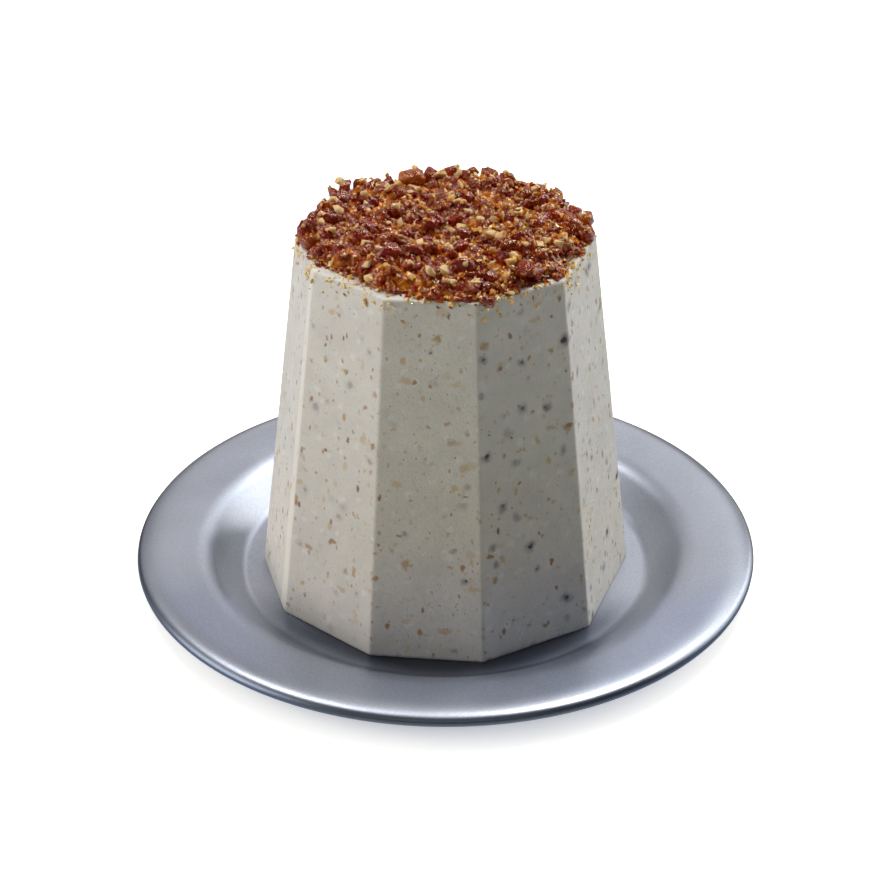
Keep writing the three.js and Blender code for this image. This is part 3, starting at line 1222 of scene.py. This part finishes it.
def caramel(name, settings, amber=0.0, clear=0.62):
    """Glassy caramel, deep red where it is thick and amber towards its edges."""
    material, bench, shader, place = new_material(name)
    own = bench.attribute("own_place", "Vector")
    tint = bench.attribute("tint")
    waves = bench.noise(place, 1.1 * MM, 2, 0.5)
    pores = bench.noise(place, 0.35 * MM, 2, 0.6)
    thin = bench.ramp(bench.vector_math("LENGTH", own), 0.3, 0.58, 0.05, 1.0)
    thin = bench.times(thin, bench.ramp(tint, 0.2, 0.95, 0.3, 1.5, "LINEAR"))
    thin = bench.plus(thin, bench.ramp(tint, 0.75, 1.0, amber, amber + 0.5))
    thin = bench.plus(thin, bench.ramp(waves, 0.4, 0.75, -0.1, 0.3))
    tone = bench.blend(thin, colour(settings.deep_caramel), colour(settings.thin_caramel))
    height = bench.plus(waves, bench.times(pores, 0.55))
    relief = bench.bump(height, 0.7, 0.3 * MM)
    bench.fill(
        shader,
        {
            "Base Color": tone,
            "Roughness": bench.ramp(pores, 0.3, 0.7, 0.03, 0.1),
            "IOR": 1.46,
            "Specular Tint": WARM_GLOSS,
            "Transmission Weight": clear,
            "Coat Weight": 0.7,
            "Coat Roughness": 0.02,
            "Normal": relief,
            "Coat Normal": relief,
        },
    )
    return material


def falls(spacing, density, sizes, small_share, tilt, lift, unevenness, seed):
    """How pieces are strewn. Lengths are in mm, density is per square metre and tilt in degrees."""
    return {
        "Spacing": spacing * MM,
        "Density": density,
        "Smallest": sizes[0] * MM,
        "Largest": sizes[1] * MM,
        "Small share": small_share,
        "Tilt": math.radians(tilt),
        "Lift": lift,
        "Unevenness": unevenness * MM,
        "Seed": brittle_settings().seed + seed,
    }


def strewn_piece(name, finish, shapes, ground, heap_names, values, by_hand=False):
    """One kind of piece, strewn over what already lies there, as one mesh."""
    heap = heap_of(heap_names)
    given = {"Shapes": shapes, "Heap": heap, "Finish": finish, "Highest": BRITTLE_BOX[1].z - 0.02 * MM}
    tree = strewing_tree(name, bool(heap_names), by_hand)
    made = grown_mesh(ground, tree, {**given, **values})
    bpy.data.collections.remove(heap)
    drop_shapes(shapes)
    return finished_piece(name, made, finish)


def hand_laid(name, finish, shapes, spots, heap_names, values):
    """Pieces laid one by one at given places: (place, length in mm, shape, tint, spin in degrees)."""
    ground = bpy.data.meshes.new(name + "_spots")
    ground.from_pydata([spot[0] for spot in spots], [], [])
    columns = (
        ("length", "FLOAT", [spot[1] * MM for spot in spots]),
        ("shape", "INT", [spot[2] for spot in spots]),
        ("tint", "FLOAT", [spot[3] for spot in spots]),
        ("spin", "FLOAT", [math.radians(spot[4]) for spot in spots]),
    )
    for label, kind, numbers in columns:
        ground.attributes.new(label, kind, "POINT").data.foreach_set("value", numbers)
    return strewn_piece(name, finish, shapes, ground, heap_names, values, by_hand=True)


def golden_crumb(name, pale, deep):
    """Crushed brittle, from straw yellow to orange."""
    material, bench, shader, place = new_material(name)
    tint = bench.attribute("tint")
    grain = bench.noise(place, 0.3 * MM, 2, 0.6)
    tone = bench.blend(bench.ramp(tint, 0.1, 0.9), colour(pale), colour(deep))
    tone = bench.blend(bench.ramp(grain, 0.45, 0.75, 0, 0.4), tone, colour(deep, 0.85))
    bench.fill(
        shader,
        {
            "Base Color": tone,
            "Roughness": bench.ramp(grain, 0.3, 0.7, 0.25, 0.4),
            "Subsurface Weight": 0.3,
            "Subsurface Radius": (1.0, 0.5, 0.1),
            "Subsurface Scale": 0.5 * MM,
            "Coat Weight": 0.4,
            "Coat Roughness": 0.05,
        },
    )
    return material


def nut_flesh(name, settings):
    """Roasted nut: pale cut flesh, browner skin, and some pieces glazed by the caramel."""
    material, bench, shader, place = new_material(name)
    tint = bench.attribute("tint")
    grain = bench.noise(place, 0.5 * MM, 3, 0.65)
    patch = bench.noise(place, 1.4 * MM, 2, 0.5)
    glazed = bench.ramp(tint, 0.55, 0.95, 0.0, 0.9)
    tone = bench.blend(glazed, colour(settings.nut_flesh), colour((0.92, 0.44, 0.04)))
    tone = bench.blend(bench.ramp(patch, 0.5, 0.75, 0, 0.6), tone, colour((0.72, 0.34, 0.06)))
    tone = bench.blend(bench.ramp(grain, 0.5, 0.8, 0, 0.5), tone, colour((0.95, 0.82, 0.52)))
    bench.fill(
        shader,
        {
            "Base Color": tone,
            "Roughness": bench.ramp(grain, 0.3, 0.7, 0.3, 0.5),
            "Coat Weight": bench.ramp(tint, 0.4, 1.0, 0.1, 0.8),
            "Coat Roughness": 0.05,
            "Subsurface Weight": 0.25,
            "Subsurface Radius": (1.0, 0.55, 0.2),
            "Subsurface Scale": 0.7 * MM,
            "Normal": bench.bump(grain, 0.5, 0.12 * MM),
        },
    )
    return material


# Pieces that stand out in the heap. Each is (across and deep in mm, length in mm, shape, tint, spin
# in degrees).
SHARD_SPOTS = (
    (-24.3, -0.1, 4.8, 0, 0.35, 70),
    (-21.4, 2.9, 5.8, 1, 0.15, 20),
    (-18.7, -0.6, 3.2, 2, 0.9, 40),
    (-14.5, -2.3, 6.5, 3, 0.3, 15),
    (-10.4, -13.7, 6.1, 4, 0.1, 30),
    (-5.2, -12.1, 5.0, 5, 0.2, 110),
    (-6.3, 20.3, 5.8, 6, 0.95, 10),
    (-5.8, 6.9, 4.0, 7, 0.3, 65),
    (8.8, 17.1, 6.2, 8, 0.15, 160),
    (24.4, 2.6, 4.8, 9, 0.2, 85),
    (18.3, 10.9, 4.2, 10, 0.5, 35),
    (10.5, -14.1, 5.8, 11, 0.1, 45),
    (14.1, -19.2, 5.2, 0, 0.7, 120),
    (-22.3, 7.4, 2.8, 1, 0.95, 0),
    (-11.3, -8.7, 3.0, 2, 0.9, 60),
    (-7.8, -8.3, 2.9, 4, 0.85, 130),
    (9.6, -22.4, 2.6, 5, 0.95, 20),
    (24.3, -6.8, 3.1, 7, 0.9, 80),
    (3.0, -4.0, 5.5, 3, 0.15, 140),
    (-1.5, 1.0, 5.0, 8, 0.25, 80),
)
# Shapes 0 to 3 are whole seeds and 4 to 11 are chopped.
NUT_SPOTS = (
    (-10.4, 1.2, 1.9, 5, 0.2, 40),
    (-2.2, 12.4, 3.5, 4, 0.15, 20),
    (-3.1, 5.6, 2.1, 6, 0.3, 100),
    (-14.0, -16.6, 3.0, 7, 0.5, 60),
    (-6.1, -17.4, 2.4, 8, 0.0, 10),
    (-15.9, -18.6, 2.0, 9, 0.4, 140),
    (-8.5, -20.3, 2.2, 10, 0.2, 80),
    (0.4, -7.9, 2.0, 11, 0.25, 30),
    (-8.1, -0.1, 2.7, 4, 0.3, 120),
    (-20.7, 9.7, 3.4, 5, 0.35, 55),
    (-15.5, 18.0, 2.6, 6, 0.3, 20),
    (-11.0, 14.2, 2.0, 7, 0.2, 75),
    (-15.1, 11.5, 2.1, 8, 0.35, 150),
    (0.9, 18.5, 2.3, 9, 0.2, 90),
    (2.6, 8.6, 3.1, 0, 0.15, 35),
    (4.0, 6.3, 2.7, 1, 0.3, 130),
    (6.3, 1.9, 2.4, 10, 0.2, 15),
    (8.7, 1.7, 2.4, 11, 0.3, 85),
    (7.9, 20.0, 2.5, 4, 0.2, 60),
    (11.4, 21.4, 1.8, 5, 0.35, 0),
    (20.9, 11.8, 2.4, 6, 0.3, 45),
    (18.5, -5.9, 3.1, 2, 0.2, 160),
    (15.3, -9.0, 1.8, 7, 0.4, 95),
    (8.2, -10.3, 2.6, 8, 0.25, 25),
    (3.6, -18.8, 2.7, 3, 0.1, 70),
    (5.3, -22.3, 2.9, 0, 0.25, 20),
    (-0.2, -20.0, 3.3, 9, 0.15, 110),
    (1.0, -23.2, 2.5, 1, 0.3, 150),
    (11.4, -23.2, 1.9, 10, 0.4, 40),
    (2.2, 24.0, 2.1, 11, 0.3, 65),
)


# Lumps along the back of the rim, which stand out against the light. Each is (direction in degrees,
# rim inset, top above the cream, length in mm, shape, tint, spin in degrees).
RIM_SPOTS = (
    (190, 1.0, 2.2, 4.4, 2, 0.9, 10),
    (180, 1.2, 3.0, 5.0, 0, 0.3, 80),
    (171, 1.6, 2.8, 4.2, 1, 0.25, 40),
    (162, 2.2, 2.4, 4.0, 5, 0.95, 90),
    (154, 1.2, 2.2, 4.4, 3, 0.8, 150),
    (147, 1.8, 3.3, 3.8, 4, 0.2, 130),
    (139, 1.2, 3.8, 4.6, 6, 0.6, 60),
    (131, 1.3, 3.4, 4.8, 7, 0.7, 45),
    (123, 1.2, 2.7, 4.4, 8, 0.3, 20),
    (105, 1.6, 3.0, 5.2, 10, 1.0, 10),
    (97, 1.2, 2.9, 4.4, 11, 0.2, 170),
    (88, 1.4, 3.2, 4.8, 2, 0.25, 10),
    (79, 1.2, 3.2, 4.6, 5, 0.5, 160),
    (70, 1.3, 2.7, 4.2, 4, 0.2, 150),
    (62, 1.3, 3.4, 4.8, 7, 0.7, 140),
    (53, 1.2, 2.6, 4.6, 3, 0.25, 130),
    (44, 1.2, 2.6, 4.4, 9, 0.3, 120),
    (35, 1.2, 2.9, 4.6, 6, 0.9, 110),
    (26, 1.2, 2.5, 4.4, 11, 0.4, 100),
    (16, 1.0, 3.2, 5.0, 8, 0.6, 90),
    (6, 0.8, 3.8, 5.0, 10, 0.95, 80),
    (-4, 0.8, 2.6, 4.2, 2, 0.8, 70),
)


def make_caramel():
    """Large glassy lumps, far apart, and those along the back of the rim."""
    settings = brittle_settings()
    draw = random.Random(settings.seed)
    finish = caramel("caramel_shards", settings)
    strewn_piece(
        "caramel_shards",
        finish,
        shape_set("shard", [shard_form(draw) for _ in range(12)], 50),
        brittle_ground(2.0 * MM, lambda p: 1.0),
        HEAP[:4],
        falls(3.2, 1.3e5, (3.2, settings.shard / MM), 1.3, 22, 0.0, 1.6, 0),
    )
    spots = []
    for turn, inset, top, length, *rest in RIM_SPOTS:
        turn = math.radians(turn)
        reach = bed_radius(turn) - inset * MM
        z = DESSERT_TOP + (top - 0.27 * length) * MM
        spots.append(((math.cos(turn) * reach, math.sin(turn) * reach, z), length, *rest))
    lumps = shape_set("rim", [shard_form(draw, (0.45, 0.58)) for _ in range(12)], 50)
    values = {"Tilt": math.radians(15), "Unevenness": 1.8 * MM, "Seed": settings.seed + 70}
    hand_laid("rim_caramel", caramel("rim_caramel", settings), lumps, spots, [], values)


def make_nuts():
    settings = brittle_settings()
    draw = random.Random(settings.seed + 1)
    strewn_piece(
        "chopped_nuts",
        nut_flesh("roasted_nut", settings),
        shape_set("nut", [nut_form(draw) for _ in range(12)], 35),
        brittle_ground(0.9 * MM, lambda p: 0.7),
        HEAP[:6],
        falls(2.0, 2.2e5, (1.4, settings.nut / MM), 1.5, 35, 0.06, 0.8, 20),
    )


def crowding_rim(point, inside):
    """Dense along the rim of the brittle, and looser inside."""
    inwards = bed_radius(math.atan2(point.y, point.x)) - math.hypot(point.x, point.y)
    return 1.0 - (1.0 - inside) * smoothstep(inwards, 1.2 * MM, 3.0 * MM)


def make_broken_caramel():
    """Middling lumps, packed on the bed."""
    settings = brittle_settings()
    draw = random.Random(settings.seed + 5)
    strewn_piece(
        "broken_caramel",
        caramel("broken_caramel", settings, 0.06),
        shape_set("lump", [shard_form(draw, (0.4, 0.6)) for _ in range(12)], 50),
        brittle_ground(0.4 * MM, lambda p: crowding_rim(p, 0.45)),
        HEAP[:2],
        falls(1.3, 7.0e5, (1.7, 4.2), 1.3, 40, 0.0, 1.2, 30),
    )


def make_standing_out():
    """The lumps and nuts that the eye finds first, each laid in its own place."""
    settings = brittle_settings()
    draw = random.Random(settings.seed + 6)
    values = {"Tilt": math.radians(12), "Lift": 0.04, "Unevenness": 0.9 * MM, "Seed": settings.seed + 50}
    for name, finish, shapes, table in (
        (
            "chosen_caramel",
            caramel("chosen_caramel", settings),
            shape_set("large", [shard_form(draw, (0.38, 0.52)) for _ in range(12)], 50),
            SHARD_SPOTS,
        ),
        (
            "chosen_nuts",
            nut_flesh("chosen_nut", settings),
            shape_set("whole", [seed_form(draw) if i < 4 else nut_form(draw) for i in range(12)], 40),
            NUT_SPOTS,
        ),
    ):
        spots = [((x * MM, y * MM, DESSERT_TOP), *rest) for x, y, *rest in table]
        hand_laid(name, finish, shapes, spots, HEAP[1:], values)


def make_chips():
    settings = brittle_settings()
    draw = random.Random(settings.seed + 2)
    strewn_piece(
        "caramel_chips",
        caramel("caramel_chips", settings, 0.1, 0.35),
        shape_set("chip", [chip_form(draw) for _ in range(10)], 20),
        brittle_ground(-0.1 * MM, lambda p: crowding_rim(p, 0.3)),
        HEAP[:3],
        falls(0.9, 1.4e6, (0.8, 2.0), 1.4, 50, 0.05, 0.4, 40),
    )


def make_crumbs():
    settings = brittle_settings()
    draw = random.Random(settings.seed + 3)
    finish = golden_crumb("golden_crumb", (1.0, 0.70, 0.22), (1.0, 0.40, 0.03))

    def denser_right(point):
        return 0.4 + 0.6 * smoothstep(point.x, -4 * MM, 10 * MM)

    strewn_piece(
        "golden_crumbs",
        finish,
        shape_set("crumb", [crumb_form(draw) for _ in range(8)], 40),
        brittle_ground(-0.5 * MM, denser_right),
        HEAP,
        falls(0.7, 1.8e6, (0.4, 1.6), 1.7, 60, 0.15, 0.0, 60),
    )


def make_rim_crumbs():
    """Crumbs stuck on the facets just under the rim."""
    settings = brittle_settings()
    draw = random.Random(settings.seed + 4)
    source = bpy.data.objects["frozen_dessert"].data
    form = bmesh.new()
    form.from_mesh(source)
    low = DESSERT_TOP - 7 * MM
    spare = [f for f in form.faces if f.calc_center_median().z < low]
    bmesh.ops.delete(form, geom=spare, context="FACES")
    ground = bpy.data.meshes.new("rim_ground")
    form.to_mesh(ground)
    form.free()
    share = ground.attributes.new("share", "FLOAT", "POINT")

    def near_rim(point):
        if math.hypot(point.x, point.y) < dessert_settings().top_radius * 0.8:
            return 0.0
        fall = smoothstep(point.z, low, DESSERT_TOP - 0.5 * MM)
        return fall**3 * (0.35 + 0.65 * (noise.noise(point / (5 * MM)) > 0))

    share.data.foreach_set("value", [near_rim(v.co) for v in ground.vertices])
    # Painted light: the crumbs on the facets get paler colours than those on top, to make up for the dimmer
    # light on the facets.
    finish = golden_crumb("rim_crumb", (1.0, 0.80, 0.36), (1.0, 0.56, 0.09))
    strewn_piece(
        "rim_crumbs",
        finish,
        shape_set("rim_crumb", [crumb_form(draw) for _ in range(8)], 40),
        ground,
        [],
        falls(0.6, 1.3e6, (0.45, 1.6), 1.4, 60, 0.05, 0.0, 80),
    )


# ---------------------------------------------------------------- stage


def pale_floor():
    """White paper that glows, so that it stays white into the distance. Close to the saucer it glows less,
    which paints a soft shade round the saucer as well as letting its shadow show.
    """
    material, bench, shader, place = new_material("pale_floor")
    from_axis = bench.vector_math("LENGTH", place)
    # Painted shade: the glow falls off towards the saucer, darkening the floor round it along with its real
    # shadow.
    near = bench.ramp(from_axis, 53 * MM, 63 * MM, 0.26, 0.94, "LINEAR")
    far = bench.ramp(from_axis, 63 * MM, 300 * MM, 0, 0.06, "LINEAR")
    fibre = bench.noise(place, 2 * MM, 2)
    paper = bench.blend(fibre, colour((0.88, 0.83, 0.67)), colour((0.92, 0.87, 0.70)))
    bench.fill(
        shader,
        {
            "Base Color": paper,
            "Roughness": 0.9,
            "Specular IOR Level": 0.0,
            "Emission Color": (1, 1, 1, 1),
            "Emission Strength": bench.plus(near, far),
        },
    )
    return material


def white_backdrop():
    material = bpy.data.materials.new("white_backdrop")
    material.use_nodes = True
    nodes = material.node_tree.nodes
    nodes.remove(nodes["Principled BSDF"])
    bench = NodeBench(material.node_tree)
    glow = bench.add("ShaderNodeEmission", {"Color": (1, 1, 1, 1), "Strength": 1.05})
    bench.feed(nodes["Material Output"].inputs["Surface"], glow.outputs[0])
    return material


def only_for_camera(thing):
    """The backdrop shows in the picture but throws no light on the object."""
    thing.visible_diffuse = False
    thing.visible_glossy = False
    thing.visible_transmission = False
    thing.visible_shadow = False


def make_floor():
    size = 3.0
    mesh = mesh_from(
        "floor", [(-size, -size, 0), (size, -size, 0), (size, size, 0), (-size, size, 0)], [(0, 1, 2, 3)]
    )
    mesh.materials.append(pale_floor())
    floor = link(bpy.data.objects.new("floor", mesh))
    only_for_camera(floor)
    form = bmesh.new()
    bmesh.ops.create_uvsphere(form, u_segments=48, v_segments=24, radius=size * 1.3)
    bmesh.ops.reverse_faces(form, faces=form.faces)
    dome_mesh = bpy.data.meshes.new("backdrop")
    form.to_mesh(dome_mesh)
    form.free()
    dome_mesh.materials.append(white_backdrop())
    dome = link(bpy.data.objects.new("backdrop", dome_mesh))
    only_for_camera(dome)


def soft_box(name, azimuth, elevation, distance, width, height, brightness, tone=(1, 1, 1)):
    """A flat lamp aimed at the dessert. Brightness is that of its face, where white paper is 1."""
    lamp = bpy.data.lights.new(name, "AREA")
    lamp.shape = "RECTANGLE"
    lamp.size, lamp.size_y = width, height
    lamp.energy = brightness * math.pi * width * height
    lamp.color = tone
    turn, rise = math.radians(azimuth), math.radians(elevation)
    way = Vector((math.cos(turn) * math.cos(rise), math.sin(turn) * math.cos(rise), math.sin(rise)))
    box = link(bpy.data.objects.new(name, lamp))
    box.location = Vector((0, 0, 0.04)) + way * distance
    box.rotation_euler = way.to_track_quat("Z", "Y").to_euler()
    box.visible_camera = False
    return box


def make_lights():
    settings = stage_settings()
    soft_box("left_box", 190, 15, 0.8, 0.6, 0.6, settings.left, (1.0, 0.955, 0.924))
    soft_box("right_box", 28, 18, 0.8, 0.5, 0.6, settings.right, (1.0, 0.979, 0.935))
    soft_box("back_left", 118, 20, 0.9, 0.6, 0.34, settings.back * 0.28)
    soft_box("back", 90, 20, 0.9, 0.36, 0.34, settings.back, (1.0, 0.93, 0.9))
    soft_box("back_right", 62, 44, 0.9, 0.55, 0.34, settings.back * 1.07, (0.94, 1.0, 0.99))
    # A dim card in front shows only in what is glossy, so that the steel isn't black from behind.
    card = soft_box("front_card", 270, 34, 0.9, 0.9, 0.4, settings.card)
    card.visible_diffuse = False
    soft_box("lamp_right", 48, 62, 0.7, 0.15, 0.15, settings.lamps)
    soft_box("lamp_left", 135, 62, 0.7, 0.15, 0.15, settings.lamps * 0.53)


def make_surroundings():
    """Nearly dark above. Below lies a dim room in three bands, cooler at the sides and straight down."""
    world = bpy.data.worlds.new("studio")
    bpy.context.scene.world = world
    world.use_nodes = True
    bench = NodeBench(world.node_tree)
    way = bench.add("ShaderNodeTexCoord").outputs["Generated"]
    axes = bench.parts(way)
    level = axes[2]
    in_front = bench.ramp(axes[1], -0.35, -0.7)
    upper = bench.blend(in_front, colour((0.42, 0.34, 0.30)), colour((0.51, 0.50, 0.49)))
    middle = bench.blend(in_front, colour((0.27, 0.40, 0.62)), colour((0.53, 0.51, 0.28)))
    tone = bench.blend(bench.ramp(level, -0.28, -0.36), upper, middle)
    tone = bench.blend(bench.ramp(level, -0.62, -0.70), tone, colour((0.79, 0.83, 0.99)))
    tone = bench.blend(bench.ramp(level, -0.2, 0.1), tone, colour((0.03, 0.03, 0.033)))
    bench.feed(world.node_tree.nodes["Background"].inputs["Color"], tone)


def make_camera():
    settings = stage_settings()
    camera = bpy.data.cameras.new("camera")
    camera.lens = 100
    camera.sensor_width = 36
    camera.clip_start, camera.clip_end = 0.01, 20
    eye = link(bpy.data.objects.new("camera", camera))
    aim = Vector((-0.5 * MM, 0, 27.3 * MM))
    back = Vector((0, -math.cos(settings.elevation), math.sin(settings.elevation)))
    eye.location = aim + back * settings.distance
    eye.rotation_euler = back.to_track_quat("Z", "Y").to_euler()
    bpy.context.scene.camera = eye
    bpy.context.scene.view_settings.view_transform = "Standard"


# ---------------------------------------------------------------- operators


class SEMIFREDDO_OT_saucer(bpy.types.Operator):
    """Turn the saucer from its outline"""

    bl_idname = "semifreddo.saucer"
    bl_label = "Make the saucer"

    def execute(self, context):
        make_saucer()
        return {"FINISHED"}


class SEMIFREDDO_OT_dessert(bpy.types.Operator):
    """Build the ten-sided frozen dessert"""

    bl_idname = "semifreddo.dessert"
    bl_label = "Make the dessert"

    def execute(self, context):
        make_dessert()
        return {"FINISHED"}


class SEMIFREDDO_OT_bed(bpy.types.Operator):
    """Spread the bed of crushed caramel"""

    bl_idname = "semifreddo.bed"
    bl_label = "Spread the bed"

    def execute(self, context):
        make_bed()
        return {"FINISHED"}


class SEMIFREDDO_OT_caramel(bpy.types.Operator):
    """Drop the large shards, and lay those along the rim"""

    bl_idname = "semifreddo.caramel"
    bl_label = "Drop the shards"

    def execute(self, context):
        make_caramel()
        return {"FINISHED"}


class SEMIFREDDO_OT_nuts(bpy.types.Operator):
    """Drop the chopped nuts on the shards"""

    bl_idname = "semifreddo.nuts"
    bl_label = "Drop the nuts"

    def execute(self, context):
        make_nuts()
        return {"FINISHED"}


class SEMIFREDDO_OT_broken(bpy.types.Operator):
    """Drop middling lumps of caramel on the bed"""

    bl_idname = "semifreddo.broken"
    bl_label = "Drop the lumps"

    def execute(self, context):
        make_broken_caramel()
        return {"FINISHED"}


class SEMIFREDDO_OT_chips(bpy.types.Operator):
    """Fill in with small chips of caramel"""

    bl_idname = "semifreddo.chips"
    bl_label = "Drop the chips"

    def execute(self, context):
        make_chips()
        return {"FINISHED"}


class SEMIFREDDO_OT_chosen(bpy.types.Operator):
    """Lay the lumps and nuts that stand out, each in its own place"""

    bl_idname = "semifreddo.chosen"
    bl_label = "Lay the chosen pieces"

    def execute(self, context):
        make_standing_out()
        return {"FINISHED"}


class SEMIFREDDO_OT_crumbs(bpy.types.Operator):
    """Dust the heap and the rim with golden crumbs"""

    bl_idname = "semifreddo.crumbs"
    bl_label = "Dust with crumbs"

    def execute(self, context):
        make_crumbs()
        make_rim_crumbs()
        return {"FINISHED"}


class SEMIFREDDO_OT_stage(bpy.types.Operator):
    """Set up the floor, the light and the camera"""

    bl_idname = "semifreddo.stage"
    bl_label = "Set up the studio"

    def execute(self, context):
        make_floor()
        make_lights()
        make_surroundings()
        make_camera()
        return {"FINISHED"}


class SEMIFREDDO_PT_sidebar(bpy.types.Panel):
    """Sizes, colours and steps of the dessert"""

    bl_idname = "SEMIFREDDO_PT_sidebar"
    bl_label = "Nougat semifreddo"
    bl_space_type = "VIEW_3D"
    bl_region_type = "UI"
    bl_category = "Semifreddo"

    def draw(self, context):
        scene = context.scene
        for label, settings in (
            ("Saucer", scene.semifreddo_saucer),
            ("Dessert", scene.semifreddo_dessert),
            ("Brittle", scene.semifreddo_brittle),
            ("Studio", scene.semifreddo_stage),
        ):
            box = self.layout.box()
            box.label(text=label)
            for name in settings.__annotations__:
                box.prop(settings, name)
        for step in STEPS:
            self.layout.operator(step.bl_idname)


SETTINGS = {
    "semifreddo_saucer": SaucerSettings,
    "semifreddo_dessert": DessertSettings,
    "semifreddo_brittle": BrittleSettings,
    "semifreddo_stage": StageSettings,
}
STEPS = (
    SEMIFREDDO_OT_saucer,
    SEMIFREDDO_OT_dessert,
    SEMIFREDDO_OT_bed,
    SEMIFREDDO_OT_broken,
    SEMIFREDDO_OT_chips,
    SEMIFREDDO_OT_caramel,
    SEMIFREDDO_OT_nuts,
    SEMIFREDDO_OT_chosen,
    SEMIFREDDO_OT_crumbs,
    SEMIFREDDO_OT_stage,
)


def register():
    for kind in (*SETTINGS.values(), *STEPS, SEMIFREDDO_PT_sidebar):
        bpy.utils.register_class(kind)
    for name, kind in SETTINGS.items():
        setattr(bpy.types.Scene, name, PointerProperty(type=kind))


def unregister():
    for name in SETTINGS:
        delattr(bpy.types.Scene, name)
    for kind in (SEMIFREDDO_PT_sidebar, *reversed(STEPS), *reversed(SETTINGS.values())):
        bpy.utils.unregister_class(kind)


def main():
    register()
    bpy.ops.semifreddo.saucer()
    bpy.ops.semifreddo.dessert()
    bpy.ops.semifreddo.bed()
    bpy.ops.semifreddo.broken()
    bpy.ops.semifreddo.chips()
    bpy.ops.semifreddo.caramel()
    bpy.ops.semifreddo.nuts()
    bpy.ops.semifreddo.chosen()
    bpy.ops.semifreddo.crumbs()
    bpy.ops.semifreddo.stage()


if __name__ == "__main__":
    main()
